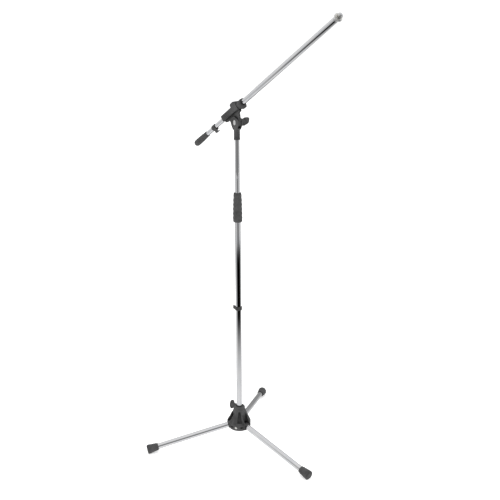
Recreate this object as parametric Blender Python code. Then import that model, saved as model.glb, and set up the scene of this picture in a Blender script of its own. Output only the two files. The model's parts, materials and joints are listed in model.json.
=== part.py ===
"""Boom microphone stand: folding tripod base, two-stage pole, tilting holder and telescoping boom.

Units are metres, +Z is up and the feet rest on z = 0. The pole stands at (POLE_X, POLE_Y), which
puts the middle of the whole stand over the origin. Every turned piece is drawn about its own axis.
"""

import math

import bmesh
import bpy

MM = 0.001
GAP = 0.3 * MM
ROUND = 24
FINE = 16

# Place of the pole axis in the stand's own frame.
POLE_X = 19.7 * MM
POLE_Y = -33.35 * MM

# Tubes: outer diameters and walls.
LOWER_TUBE_D = 20.0 * MM
UPPER_TUBE_D = 16.0 * MM
BOOM_FRONT_D = 17.2 * MM
BOOM_REAR_D = 14.6 * MM
LEG_TUBE_D = 20.0 * MM
HEAVY_WALL = 1.2 * MM
THIN_WALL = 1.0 * MM

# Tripod: three equal legs, which slope down to the feet from an apex on the pole axis.
LEG_AZIMUTHS = (74.6, 194.6, 314.6)
LEG_SLOPE = 10.6
LEG_APEX_Z = 76.5 * MM
HINGE_R = 33.0 * MM
FOOT_START_R = 300.0 * MM
FOOT_LENGTH = 41.0 * MM
FOOT_SMALL_R = 12.2 * MM
FOOT_BIG_R = 16.5 * MM
PIN_R = 3.0 * MM
PIN_HALF_LENGTH = 20.0 * MM

# Hub: a moulding round the foot of the pole, with a slotted housing for each leg.
HUB_BOTTOM_Z = 57.0 * MM
HUB_TOP_Z = 141.5 * MM
HUB_LIP_R = 13.6 * MM
HUB_NECK_R = 20.5 * MM
HUB_SKIRT_R = 40.5 * MM
HUB_SKIRT_TOP_Z = 80.0 * MM
HUB_NECK_Z = 131.0 * MM
HOUSING_R = 42.5 * MM
HOUSING_HALF_WIDTH = 14.5 * MM
SLOT_HALF_WIDTH = 10.5 * MM
SLOT_INNER_R = 22.3 * MM
HUB_SCREW_AZIMUTH = 134.6
HUB_SCREW_Z = 130.0 * MM
SCREW_BOSS_R = 9.0 * MM
SCREW_R = 3.0 * MM
SCREW_END = 33.0 * MM
KNOB_START = 26.5 * MM
KNOB_LENGTH = 21.0 * MM
KNOB_HALF_SPAN = 16.5 * MM
KNOB_ROOT_R = 7.0 * MM
KNOB_HALF_THICK = 2.7 * MM
PANEL_DEPTH = 5.5 * MM
PANEL_TURN = 76.4
PANEL_LOW_Z = 86.0 * MM
PANEL_HIGH_Z = 124.0 * MM
PANEL_LOW_HALF = 8.6 * MM
PANEL_HIGH_HALF = 3.4 * MM
RIVET_AZIMUTH = 252.0
RIVET_Z = 70.0 * MM

# Pole heights.
LOWER_TUBE_FOOT_Z = 60.8 * MM
LOWER_TUBE_TOP_Z = 868.0 * MM
GRIP_BOTTOM_Z = 835.6 * MM
GRIP_TOP_Z = 934.6 * MM
UPPER_TUBE_FOOT_Z = 360.0 * MM
POLE_CLIP_Z = 525.0 * MM
POLE_CLIP_TURN = -33.0
CLIP_WALL = 2.2 * MM
YOKE_BOTTOM_Z = 1109.0 * MM
YOKE_SHOULDER_Z = 1141.0 * MM

# Tilt joint and boom. The boom axis crosses above the tilt pivot at BOOM_OFFSET from it.
TILT_Z = 1164.3 * MM
BOOM_AZIMUTH = -42.0
BOOM_ELEVATION = 36.0
BOOM_OFFSET = 36.6 * MM
YOKE_SLEEVE_R = 10.4 * MM
CHEEK_R = 15.5 * MM
CHEEK_BACK_R = 19.0 * MM
CHEEK_INNER = 6.8 * MM
CHEEK_OUTER = 11.8 * MM
LUG_HALF = 5.2 * MM
TILT_BOLT_R = 4.0 * MM
TILT_BOLT_END = 34.0 * MM
BOLT_HEAD_HALF_WIDTH = 5.0 * MM
BOLT_HEAD_HALF_HEIGHT = 8.2 * MM
TILT_WASHER_THICK = 1.4 * MM
INSERT_R = 6.0 * MM
INSERT_LENGTH = 10.0 * MM

# Stations along the boom, counted from the tilt pivot.
HOLDER_BACK = -39.0 * MM
HOLDER_FRONT = 40.0 * MM
HUMP_BACK = 15.0 * MM
CLUTCH_LENGTH = 19.5 * MM
CLUTCH_R = 13.4 * MM
CLUTCH_LOBE = 4.4 * MM
CLUTCH_LOBE_TURN = -68.0
COLLET_R = 11.0 * MM
BOOM_FRONT_END = 483.0 * MM
THREAD_START = 6.3 * MM
THREAD_TURNS = 5
THREAD_PITCH = 3.4 * MM
LOCK_RING_START = 7.0 * MM
TIP_END = 24.5 * MM
BOOM_REAR_END = -200.0 * MM
TAIL_GRIP_START = -137.0 * MM
TAIL_GRIP_LENGTH = 72.0 * MM
BOOM_CLIP_X = -95.0 * MM
BOOM_CLIP_TURN = -75.0
INNER_TUBE_END = 380.0 * MM


# ---------------------------------------------------------------- materials and basic shapes


def clear_scene():
    for obj in list(bpy.data.objects):
        bpy.data.objects.remove(obj, do_unlink=True)


def material(name, colour, roughness, metallic):
    made = bpy.data.materials.new(name)
    made.use_nodes = True
    shader = made.node_tree.nodes["Principled BSDF"]
    shader.inputs["Base Color"].default_value = (*colour, 1.0)
    shader.inputs["Roughness"].default_value = roughness
    shader.inputs["Metallic"].default_value = metallic
    return made


FINISHES = {
    "black_plastic": ((0.062, 0.062, 0.062), 0.5, 0.0),
    "black_rubber": ((0.05, 0.05, 0.05), 0.75, 0.0),
    "chrome": ((0.86, 0.86, 0.87), 0.08, 1.0),
    "zinc_steel": ((0.72, 0.73, 0.75), 0.3, 1.0),
    "black_steel": ((0.05, 0.05, 0.05), 0.45, 1.0),
    "nylon": ((0.82, 0.81, 0.77), 0.5, 0.0),
    "brass": ((0.78, 0.6, 0.3), 0.35, 1.0),
}


def empty(name, parent, location=(0.0, 0.0, 0.0), rotation=(0.0, 0.0, 0.0)):
    made = bpy.data.objects.new(name, None)
    made.empty_display_size = 0.02
    made.location = location
    made.rotation_euler = rotation
    made.parent = parent
    bpy.context.collection.objects.link(made)
    return made


def add_object(name, points, faces, finish, parent):
    """One closed mesh object on its parent's axes, with its own material."""
    mesh = bpy.data.meshes.new(name)
    mesh.from_pydata([tuple(point) for point in points], [], faces)
    work = bmesh.new()
    work.from_mesh(mesh)
    bmesh.ops.recalc_face_normals(work, faces=work.faces)
    work.to_mesh(mesh)
    work.free()
    mesh.shade_smooth()
    mesh.set_sharp_from_angle(angle=math.radians(35))
    mesh.materials.append(material(name, *FINISHES[finish]))
    made = bpy.data.objects.new(name, mesh)
    made.parent = parent
    bpy.context.collection.objects.link(made)
    return made


def turned(name, outline, finish, parent, along="Z", steps=ROUND, ripple=None):
    """A solid of revolution. The outline is a closed loop of (radius, height), anticlockwise.

    ripple, where given, turns (radius, height, angle) into the radius there.
    """
    points = []
    rings = []
    for radius, height in outline:
        count = 1 if radius < 1e-9 else steps
        ring = []
        for step in range(count):
            angle = 2 * math.pi * step / steps
            reach = ripple(radius, height, angle) if ripple else radius
            across = (reach * math.cos(angle), reach * math.sin(angle))
            ring.append(len(points))
            if along == "Z":
                points.append((across[0], across[1], height))
            elif along == "X":
                points.append((height, across[0], across[1]))
            else:
                points.append((across[1], height, across[0]))
        rings.append(ring)
    faces = []
    for index, ring in enumerate(rings):
        following = rings[(index + 1) % len(rings)]
        if len(ring) == 1 and len(following) == 1:
            continue
        for step in range(steps):
            corners = [ring[step % len(ring)], ring[(step + 1) % len(ring)]]
            corners += [following[(step + 1) % len(following)], following[step % len(following)]]
            faces.append(tuple(dict.fromkeys(corners)))
    return add_object(name, points, faces, finish, parent)


def plate(name, outline, low, high, finish, parent, along="Y"):
    """A flat outline drawn in the two other axes and carried from low to high along one axis."""
    points = []
    for level in (low, high):
        for first, second in outline:
            if along == "Y":
                points.append((first, level, second))
            elif along == "X":
                points.append((level, first, second))
            else:
                points.append((first, second, level))
    count = len(outline)
    faces = [tuple(range(count)), tuple(range(2 * count - 1, count - 1, -1))]
    for index in range(count):
        after = (index + 1) % count
        faces.append((index, after, count + after, count + index))
    return add_object(name, points, faces, finish, parent)


def helper(obj):
    """Keeps a cutting or joining shape out of the finished model."""
    obj.hide_render = True
    obj.display_type = "WIRE"
    return obj


def combine(target, other, operation):
    helper(other)
    step = target.modifiers.new(operation.lower(), "BOOLEAN")
    step.operation = operation
    step.object = other


def arc(centre, radius, start, end, steps):
    """Points on an arc, with angles in degrees."""
    found = []
    for step in range(steps + 1):
        angle = math.radians(start + (end - start) * step / steps)
        found.append((centre[0] + radius * math.cos(angle), centre[1] + radius * math.sin(angle)))
    return found


def pipe_outline(outer, inner, start, end):
    return [(inner, start), (outer, start), (outer, end), (inner, end)]


def rod_outline(radius, start, end, chamfer=0.0):
    if chamfer == 0.0:
        return [(0.0, start), (radius, start), (radius, end), (0.0, end)]
    return [
        (0.0, start),
        (radius - chamfer, start),
        (radius, start + chamfer),
        (radius, end - chamfer),
        (radius - chamfer, end),
        (0.0, end),
    ]


def tube(name, outer_d, wall, start, end, parent, along="Z"):
    outline = pipe_outline(outer_d / 2, outer_d / 2 - wall, start, end)
    return turned(name, outline, "chrome", parent, along)


def thumb_knob(name, parent, turn):
    """A moulded knob on the parent's X axis: a round boss inside one flat oval grip."""
    boss_end = KNOB_START + 0.6 * KNOB_LENGTH
    boss = [(0.0, KNOB_START), (KNOB_ROOT_R, KNOB_START), (0.9 * KNOB_ROOT_R, boss_end), (0.0, boss_end)]
    knob = turned(name, boss, "black_plastic", parent, "X", FINE)
    seat = empty(name + "_grip_axis", parent, rotation=(math.radians(turn), 0.0, 0.0))
    centre = KNOB_START + 1.0 * MM + KNOB_LENGTH / 2
    oval = []
    for along, across in arc((0.0, 0.0), 1.0, 0, 345, 23):
        oval.append((centre + along * KNOB_LENGTH / 2, across * KNOB_HALF_SPAN))
    half = KNOB_HALF_THICK
    combine(knob, plate(name + "_grip", oval, -half, half, "black_plastic", seat), "UNION")
    return knob


def open_ring(centre, inner, wall, mouth):
    """A ring seen along its tube, with a mouth of this half-angle in degrees on its +second side."""
    outer = inner + wall
    around = arc(centre, outer, 90 + mouth, 450 - mouth, 16)
    return around + arc(centre, inner, 450 - mouth, 90 + mouth, 16)


def cable_clip(name, parent, tube_r, hook_inner, half_length, along, hook_side):
    """A snap-on clip: one open ring grips the tube and a smaller one beside it holds the cable."""
    inner = tube_r + GAP
    beside = hook_side * (inner + hook_inner + CLIP_WALL + 0.3 * MM)
    grip = open_ring((0.0, 0.0), inner, CLIP_WALL, 48)
    clip = plate(name, grip, -half_length, half_length, "black_plastic", parent, along)
    hook = open_ring((beside, 0.0), hook_inner, CLIP_WALL, 42)
    short = 0.9 * half_length
    combine(clip, plate(name + "_hook", hook, -short, short, "black_plastic", parent, along), "UNION")


# ---------------------------------------------------------------- tripod base


def skirt_radius(height):
    """Radius of the bell between the skirt and the neck, where it sweeps inward."""
    share = (height - HUB_SKIRT_TOP_Z) / (HUB_NECK_Z - HUB_SKIRT_TOP_Z)
    share = min(max(share, 0.0), 1.0)
    return HUB_NECK_R + (HUB_SKIRT_R - HUB_NECK_R) * (1 - share) ** 1.2


def hub_core_outline():
    """Flared bell: a wide skirt that sweeps in to a neck, which slopes up to a thin lip."""
    skirt = [(0.0, HUB_BOTTOM_Z), (HUB_SKIRT_R - 2 * MM, HUB_BOTTOM_Z)]
    skirt += [(HUB_SKIRT_R, HUB_BOTTOM_Z + 2.5 * MM)]
    flare_steps = 5
    for step in range(flare_steps + 1):
        height = HUB_SKIRT_TOP_Z + (HUB_NECK_Z - HUB_SKIRT_TOP_Z) * step / flare_steps
        skirt.append((skirt_radius(height), height))
    neck = [(19.6 * MM, HUB_TOP_Z - 5 * MM), (16 * MM, HUB_TOP_Z - 1 * MM), (HUB_LIP_R, HUB_TOP_Z)]
    return skirt + neck + [(0.0, HUB_TOP_Z)]


def housing_outline():
    """Side view of one leg housing: (distance from the pole, height)."""
    edge = HOUSING_R
    return [
        (10 * MM, HUB_BOTTOM_Z),
        (edge - 7 * MM, HUB_BOTTOM_Z),
        (edge - 1.5 * MM, HUB_BOTTOM_Z + 6 * MM),
        (edge, HUB_BOTTOM_Z + 10 * MM),
        (edge, 81 * MM),
        (edge - 3 * MM, 87 * MM),
        (34 * MM, 94 * MM),
        (25 * MM, 112 * MM),
        (10 * MM, 112 * MM),
    ]


def leg_line_z(radius):
    """Height of a leg's centre line at a distance from the pole axis."""
    return LEG_APEX_Z - radius * math.tan(math.radians(LEG_SLOPE))


def build_hub(stand):
    hub = turned("base_hub", hub_core_outline(), "black_plastic", stand, steps=36)
    for number, azimuth in enumerate(LEG_AZIMUTHS, 1):
        side = empty(f"housing_axis_{number}", stand, rotation=(0.0, 0.0, math.radians(azimuth)))
        width = HOUSING_HALF_WIDTH
        housing = plate(f"housing_{number}", housing_outline(), -width, width, "black_plastic", side)
        combine(hub, housing, "UNION")
    screw_side = empty("hub_screw_axis", stand, (0.0, 0.0, HUB_SCREW_Z))
    screw_side.rotation_euler = (0.0, 0.0, math.radians(HUB_SCREW_AZIMUTH))
    boss = rod_outline(SCREW_BOSS_R, 12 * MM, KNOB_START - 0.5 * MM)
    combine(hub, turned("hub_screw_boss", boss, "black_plastic", screw_side, "X"), "UNION")
    cut_leg_slots(hub, stand)
    bore = rod_outline(LOWER_TUBE_D / 2 + GAP, LOWER_TUBE_FOOT_Z - GAP, HUB_TOP_Z + 10 * MM)
    combine(hub, turned("hub_bore", bore, "chrome", stand), "DIFFERENCE")
    drain = turned("hub_drain", rod_outline(6 * MM, 40 * MM, 70 * MM), "chrome", stand, steps=FINE)
    combine(hub, drain, "DIFFERENCE")
    thread = rod_outline(SCREW_R + GAP, 5 * MM, 35 * MM)
    combine(hub, turned("hub_thread", thread, "chrome", screw_side, "X", FINE), "DIFFERENCE")
    cut_front_panels(hub, stand)
    build_retaining_rivet(hub, stand)
    return screw_side


def cut_leg_slots(hub, stand):
    """Each slot is open outward and upward, so that its leg can swing up beside the pole."""
    reach = 60 * MM
    shelf = HINGE_R - 8 * MM
    clearance = LEG_TUBE_D / 2 / math.cos(math.radians(LEG_SLOPE)) + 0.4 * MM
    shelf_z = leg_line_z(shelf) - clearance
    outline = [(SLOT_INNER_R, shelf_z), (shelf, shelf_z), (shelf, 40 * MM), (reach, 40 * MM)]
    outline += [(reach, 165 * MM), (SLOT_INNER_R, 165 * MM)]
    pin_z = leg_line_z(HINGE_R)
    for number, azimuth in enumerate(LEG_AZIMUTHS, 1):
        side = empty(f"slot_axis_{number}", stand, rotation=(0.0, 0.0, math.radians(azimuth)))
        width = SLOT_HALF_WIDTH
        combine(hub, plate(f"slot_{number}", outline, -width, width, "chrome", side), "DIFFERENCE")
        pivot = empty(f"pin_axis_{number}", side, (HINGE_R, 0.0, pin_z))
        bore = rod_outline(PIN_R + GAP, -40 * MM, 40 * MM)
        combine(hub, turned(f"pin_bore_{number}", bore, "chrome", pivot, "Y", FINE), "DIFFERENCE")


def cut_front_panels(hub, stand):
    """A shallow recess on each skirt panel, which tapers upward and follows the flare."""
    rows = 6
    for number, azimuth in enumerate(LEG_AZIMUTHS, 1):
        side = empty(f"panel_axis_{number}", stand, rotation=(0.0, 0.0, math.radians(azimuth + PANEL_TURN)))
        points = []
        faces = []
        for row in range(rows + 1):
            share = row / rows
            height = PANEL_LOW_Z + (PANEL_HIGH_Z - PANEL_LOW_Z) * share
            half = PANEL_LOW_HALF + (PANEL_HIGH_HALF - PANEL_LOW_HALF) * share
            near = skirt_radius(height) - PANEL_DEPTH
            points += [(near, -half, height), (60 * MM, -half, height)]
            points += [(60 * MM, half, height), (near, half, height)]
            if row:
                base = 4 * row
                for edge in range(4):
                    after = (edge + 1) % 4
                    faces.append((base - 4 + edge, base - 4 + after, base + after, base + edge))
        faces += [(0, 1, 2, 3), tuple(4 * rows + corner for corner in (3, 2, 1, 0))]
        cutter = add_object(f"panel_recess_{number}", points, faces, "chrome", side)
        combine(hub, cutter, "DIFFERENCE")


def build_retaining_rivet(hub, stand):
    """Plated rivet through the skirt into the plug at the foot of the lower tube."""
    side = empty("rivet_axis", stand, (0.0, 0.0, RIVET_Z), (0.0, 0.0, math.radians(RIVET_AZIMUTH)))
    seat = HUB_SKIRT_R - 0.9 * MM
    head = seat + 2.0 * MM
    outline = [(0.0, 14 * MM), (2 * MM, 14 * MM), (2 * MM, seat)]
    outline += [(4.6 * MM, seat), (4.6 * MM, seat + 0.6 * MM)]
    outline += [(3.4 * MM, head - 0.4 * MM), (1.6 * MM, head), (0.0, head)]
    turned("retaining_rivet", outline, "zinc_steel", side, "X", FINE)
    hole = turned("rivet_hole", rod_outline(2.3 * MM, 13 * MM, 45 * MM), "chrome", side, "X", FINE)
    combine(hub, hole, "DIFFERENCE")
    seat_cut = turned("rivet_seat", rod_outline(5.2 * MM, seat - GAP, 45 * MM), "chrome", side, "X", FINE)
    combine(hub, seat_cut, "DIFFERENCE")


def build_base(stand):
    """Everything fixed to the hub: pins, lower tube, its plug and the clutch seat on its top."""
    screw_side = build_hub(stand)
    tube("lower_tube", LOWER_TUBE_D, HEAVY_WALL, LOWER_TUBE_FOOT_Z, LOWER_TUBE_TOP_Z, stand)
    plug_r = LOWER_TUBE_D / 2 - HEAVY_WALL - GAP
    plug = rod_outline(plug_r, LOWER_TUBE_FOOT_Z, LOWER_TUBE_FOOT_Z + 14 * MM, 1 * MM)
    turned("lower_tube_plug", plug, "black_plastic", stand, steps=FINE)
    build_clutch_seat(stand)
    build_pole_clip(stand)
    return screw_side


def build_hinge_pin(number, pivot):
    """Blackened dowel across the slot, just short of the skirt's surface at each end."""
    outline = rod_outline(PIN_R, -PIN_HALF_LENGTH, PIN_HALF_LENGTH, 0.6 * MM)
    turned(f"hinge_pin_{number}", outline, "black_steel", pivot, "Y", FINE)


def build_knuckle(number, pivot):
    """Hinge eye with a round plug that fills the end of the leg tube."""
    eye_r = 9.7 * MM
    shoulder = 9.9 * MM
    outline = [(shoulder, -eye_r), (shoulder, eye_r)] + arc((0.0, 0.0), eye_r, 90, 270, 12)
    knuckle = plate(f"leg_knuckle_{number}", outline, -9.9 * MM, 9.9 * MM, "black_plastic", pivot)
    plug_r = LEG_TUBE_D / 2 - HEAVY_WALL - GAP
    plug = rod_outline(plug_r, 6 * MM, 36 * MM)
    plug_end = turned(f"knuckle_plug_{number}", plug, "black_plastic", pivot, "X", FINE)
    combine(knuckle, plug_end, "UNION")
    hole = rod_outline(PIN_R + GAP, -15 * MM, 15 * MM)
    combine(knuckle, turned(f"knuckle_hole_{number}", hole, "chrome", pivot, "Y", FINE), "DIFFERENCE")


def build_foot(number, pivot, stand):
    """Flared rubber boot over the tube end, cut flat where it stands on the floor."""
    start = (FOOT_START_R - HINGE_R) / math.cos(math.radians(LEG_SLOPE))
    end = start + FOOT_LENGTH
    floor = end - 8 * MM
    bore = LEG_TUBE_D / 2 + GAP
    outline = [(0.0, floor), (bore, floor), (bore, start), (FOOT_SMALL_R - 1 * MM, start)]
    outline += [(FOOT_SMALL_R, start + 1.5 * MM), (FOOT_SMALL_R + 1.6 * MM, start + 16 * MM)]
    outline += [(FOOT_BIG_R - 0.6 * MM, end - 12 * MM), (FOOT_BIG_R, end - 3 * MM)]
    outline += [(FOOT_BIG_R - 2.5 * MM, end), (0.0, end)]
    foot = turned(f"rubber_foot_{number}", outline[::-1], "black_rubber", pivot, "X")
    square = [(-0.5, -0.5), (0.5, -0.5), (0.5, 0.5), (-0.5, 0.5)]
    ground = plate(f"foot_ground_{number}", square, -0.1, 0.0, "chrome", stand, "Z")
    combine(foot, ground, "DIFFERENCE")
    return floor - GAP


def build_legs(stand):
    for number, azimuth in enumerate(LEG_AZIMUTHS, 1):
        turn = math.radians(azimuth)
        place = (HINGE_R * math.cos(turn), HINGE_R * math.sin(turn), leg_line_z(HINGE_R))
        level = empty(f"leg_hinge_{number}", stand, place, (0.0, 0.0, turn))
        build_hinge_pin(number, level)
        pivot = empty(f"leg_axis_{number}", level, rotation=(0.0, math.radians(LEG_SLOPE), 0.0))
        build_knuckle(number, pivot)
        tube_end = build_foot(number, pivot, stand)
        tube(f"leg_tube_{number}", LEG_TUBE_D, HEAVY_WALL, 10.2 * MM, tube_end, pivot, "X")


def build_hub_knob(screw_side):
    """Thumb screw that clamps the lower tube in the hub."""
    shank = rod_outline(SCREW_R, LOWER_TUBE_D / 2 + GAP, SCREW_END, 0.6 * MM)
    turned("hub_clamp_screw", shank, "zinc_steel", screw_side, "X", FINE)
    knob = thumb_knob("hub_clamp_knob", screw_side, 12)
    socket = rod_outline(SCREW_R + GAP, KNOB_START - 5 * MM, SCREW_END + GAP)
    combine(knob, turned("hub_knob_socket", socket, "chrome", screw_side, "X", FINE), "DIFFERENCE")


# ---------------------------------------------------------------- pole and its height clutch


def build_clutch_seat(stand):
    """Threaded sleeve on the top of the lower tube, and the split collet that it carries."""
    top = LOWER_TUBE_TOP_Z
    outer = 12 * MM
    seat = [(LOWER_TUBE_D / 2 + GAP, GRIP_BOTTOM_Z + 3 * MM), (outer, GRIP_BOTTOM_Z + 3 * MM)]
    seat += [(outer, top + 16 * MM), (UPPER_TUBE_D / 2 + GAP, top + 16 * MM)]
    seat += [(UPPER_TUBE_D / 2 + GAP, top + GAP), (LOWER_TUBE_D / 2 + GAP, top + GAP)]
    turned("height_clutch_seat", seat, "black_plastic", stand)
    low = top + 16 * MM + GAP
    inner = UPPER_TUBE_D / 2 + GAP
    ring = [(inner, low), (11 * MM, low), (11 * MM, low + 6 * MM), (9.4 * MM, low + 22 * MM)]
    ring += [(inner, low + 22 * MM)]
    collet = turned("height_collet", ring, "nylon", stand)
    slit = [(0.0, -1 * MM), (20 * MM, -1 * MM), (20 * MM, 1 * MM), (0.0, 1 * MM)]
    cutter = plate("height_collet_slit", slit, low - 5 * MM, low + 30 * MM, "chrome", stand, "Z")
    combine(collet, cutter, "DIFFERENCE")


def grip_radius(radius, height, angle):
    """Finger waves on the grip's sides, which fade out on its two smooth panels."""
    if radius < 14.0 * MM or height < GRIP_BOTTOM_Z + 6 * MM or height > GRIP_TOP_Z - 16 * MM:
        return radius
    pitch = 15.2 * MM
    wave = 0.5 - 0.5 * math.cos(2 * math.pi * (height - GRIP_BOTTOM_Z - 6 * MM) / pitch)
    return radius - 0.9 * MM * (1 - wave) * math.cos(angle) ** 2


def build_height_grip(stand):
    """Twist nut over the collet and the ribbed rubber grip moulded on it."""
    top = LOWER_TUBE_TOP_Z
    bore = UPPER_TUBE_D / 2 + 0.6 * MM
    nut = [(12.3 * MM, top - 12 * MM), (13.2 * MM, top - 12 * MM), (13.2 * MM, GRIP_TOP_Z - 22 * MM)]
    nut += [(11.0 * MM, GRIP_TOP_Z - 3 * MM), (bore, GRIP_TOP_Z - 3 * MM), (bore, top + 40.5 * MM)]
    nut += [(9.8 * MM, top + 39 * MM), (11.4 * MM, top + 23 * MM), (11.4 * MM, top + 16.6 * MM)]
    nut += [(12.3 * MM, top + 16.6 * MM)]
    turned("height_clutch_nut", nut, "black_plastic", stand)
    rise = GRIP_BOTTOM_Z
    sleeve = [(12.6 * MM, rise), (14.0 * MM, rise), (15.4 * MM, rise + 4 * MM)]
    side_steps = 16
    side_top = GRIP_TOP_Z - 16 * MM
    for step in range(side_steps + 1):
        share = step / side_steps
        height = rise + 6 * MM + (side_top - rise - 6 * MM) * share
        sleeve.append((16.0 * MM - 1.6 * MM * share**2, height))
    sleeve += [(12.9 * MM, GRIP_TOP_Z - 3 * MM), (11.7 * MM, GRIP_TOP_Z)]
    sleeve += [(bore, GRIP_TOP_Z), (bore, GRIP_TOP_Z - 3 * MM + GAP), (11.2 * MM, GRIP_TOP_Z - 3 * MM + GAP)]
    sleeve += [(13.5 * MM, GRIP_TOP_Z - 22 * MM), (13.5 * MM, top - 12.6 * MM), (12.6 * MM, top - 12.6 * MM)]
    turned("height_grip", sleeve, "black_rubber", stand, ripple=grip_radius)


def build_upper_pole(stand):
    tube("upper_tube", UPPER_TUBE_D, THIN_WALL, UPPER_TUBE_FOOT_Z, YOKE_SHOULDER_Z - 1 * MM, stand)
    foot = UPPER_TUBE_FOOT_Z
    guide_r = LOWER_TUBE_D / 2 - HEAVY_WALL - GAP
    neck_r = UPPER_TUBE_D / 2 - THIN_WALL - GAP
    guide = [(0.0, foot - 12 * MM), (guide_r - 1 * MM, foot - 12 * MM), (guide_r, foot - 11 * MM)]
    guide += [(guide_r, foot - GAP), (neck_r, foot - GAP), (neck_r, foot + 16 * MM), (0.0, foot + 16 * MM)]
    turned("upper_tube_guide", guide, "nylon", stand, steps=FINE)


def build_pole_clip(stand):
    """Snap-on cable clip on the lower tube."""
    side = empty("pole_clip_axis", stand, (0.0, 0.0, POLE_CLIP_Z), (0.0, 0.0, math.radians(POLE_CLIP_TURN)))
    cable_clip("pole_cable_clip", side, LOWER_TUBE_D / 2, 3.3 * MM, 6.2 * MM, "Z", -1)


# ---------------------------------------------------------------- yoke and tilt joint


def build_yoke(turntable):
    """Sleeve on the top of the pole that spreads into a fork for the tilt bolt."""
    drop = YOKE_BOTTOM_Z - TILT_Z
    shoulder = YOKE_SHOULDER_Z - TILT_Z
    sleeve = [(0.0, drop), (YOKE_SLEEVE_R - 0.8 * MM, drop), (YOKE_SLEEVE_R, drop + 0.8 * MM)]
    sleeve += [(YOKE_SLEEVE_R, shoulder + 4 * MM), (0.0, shoulder + 4 * MM)]
    yoke = turned("boom_yoke", sleeve, "black_plastic", turntable)
    root = shoulder + 1 * MM
    fork = [(YOKE_SLEEVE_R * 0.8, root), (YOKE_SLEEVE_R, root + 3 * MM)]
    fork += arc((0.0, 0.0), CHEEK_R, -20, 68, 8)
    fork += arc((0.0, 0.0), CHEEK_BACK_R, 92, 164, 7)
    fork += [(-CHEEK_R, -3 * MM), (-YOKE_SLEEVE_R, root + 3 * MM), (-YOKE_SLEEVE_R * 0.8, root)]
    block = plate("yoke_fork", fork, -CHEEK_OUTER, CHEEK_OUTER, "black_plastic", turntable)
    combine(yoke, block, "UNION")
    between = [(-30 * MM, -18.5 * MM), (30 * MM, -18.5 * MM), (30 * MM, 30 * MM), (-30 * MM, 30 * MM)]
    gap = plate("yoke_fork_gap", between, -CHEEK_INNER, CHEEK_INNER, "chrome", turntable)
    combine(yoke, gap, "DIFFERENCE")
    trim = CHEEK_OUTER + 10 * MM
    for side in (-1, 1):
        slope = [(side * YOKE_SLEEVE_R * 0.8, root - 2 * MM), (side * trim, root - 2 * MM)]
        slope += [(side * trim, -9 * MM), (side * CHEEK_OUTER, -9 * MM)]
        slope += [(side * YOKE_SLEEVE_R, root + 2 * MM)]
        cutter = plate(f"yoke_slope_{side + 1}", slope, -30 * MM, 30 * MM, "chrome", turntable, "X")
        combine(yoke, cutter, "DIFFERENCE")
    bore = rod_outline(UPPER_TUBE_D / 2 + GAP, drop - 10 * MM, shoulder)
    combine(yoke, turned("yoke_bore", bore, "chrome", turntable), "DIFFERENCE")
    hole = rod_outline(TILT_BOLT_R + GAP, -30 * MM, 30 * MM)
    combine(yoke, turned("yoke_bolt_hole", hole, "chrome", turntable, "Y", FINE), "DIFFERENCE")
    recess = oblong(BOLT_HEAD_HALF_WIDTH + 0.4 * MM, BOLT_HEAD_HALF_HEIGHT + 0.4 * MM)
    floor = -CHEEK_OUTER + 2.3 * MM
    pocket = plate("yoke_bolt_pocket", recess, -CHEEK_OUTER - 2 * MM, floor, "chrome", turntable)
    combine(yoke, pocket, "DIFFERENCE")


def oblong(half_width, half_height):
    """Upright slot shape with round ends."""
    reach = half_height - half_width
    return arc((0.0, reach), half_width, 0, 180, 8) + arc((0.0, -reach), half_width, 180, 360, 8)


def build_tilt_bolt(turntable):
    """Bolt with an oblong head that the fork's pocket keeps from turning."""
    back = -CHEEK_OUTER + 0.2 * MM
    seat = -CHEEK_OUTER + 2 * MM
    head = oblong(BOLT_HEAD_HALF_WIDTH, BOLT_HEAD_HALF_HEIGHT)
    bolt = plate("tilt_bolt", head, back, seat, "zinc_steel", turntable)
    shank = rod_outline(TILT_BOLT_R, seat - 1 * MM, TILT_BOLT_END, 0.6 * MM)
    combine(bolt, turned("tilt_bolt_shank", shank, "zinc_steel", turntable, "Y", FINE), "UNION")
    for number, side in enumerate((-1, 1), 1):
        inner = side * (LUG_HALF + GAP)
        outer = side * (CHEEK_INNER - GAP)
        disc = pipe_outline(13 * MM, TILT_BOLT_R + GAP, min(inner, outer), max(inner, outer))
        turned(f"friction_washer_{number}", disc, "nylon", turntable, "Y", FINE)


def paddle_knob(side, seat):
    """Moulded knob: a round boss that ends in one broad thumb paddle."""
    boss = [(0.0, seat), (10.5 * MM, seat), (10.5 * MM, seat + 4 * MM), (8.5 * MM, seat + 17 * MM)]
    knob = turned("tilt_knob", boss + [(0.0, seat + 17 * MM)], "black_plastic", side, "X", FINE)
    lean = empty("tilt_paddle_axis", side, rotation=(math.radians(10), 0.0, 0.0))
    start = seat + 5 * MM
    end = seat + 42 * MM
    outline = [(start, -7 * MM), (start + 7 * MM, -14 * MM), (start + 17 * MM, -15 * MM)]
    outline += arc((end - 9 * MM, -2 * MM), 9 * MM, -50, 0, 4)
    outline += arc((end - 6 * MM, 5 * MM), 6 * MM, 0, 90, 5)
    outline += [(start + 18 * MM, 11.5 * MM), (start + 8 * MM, 8 * MM)]
    paddle = plate("tilt_paddle", outline, -3.2 * MM, 3.2 * MM, "black_plastic", lean)
    combine(knob, paddle, "UNION")
    return knob


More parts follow.
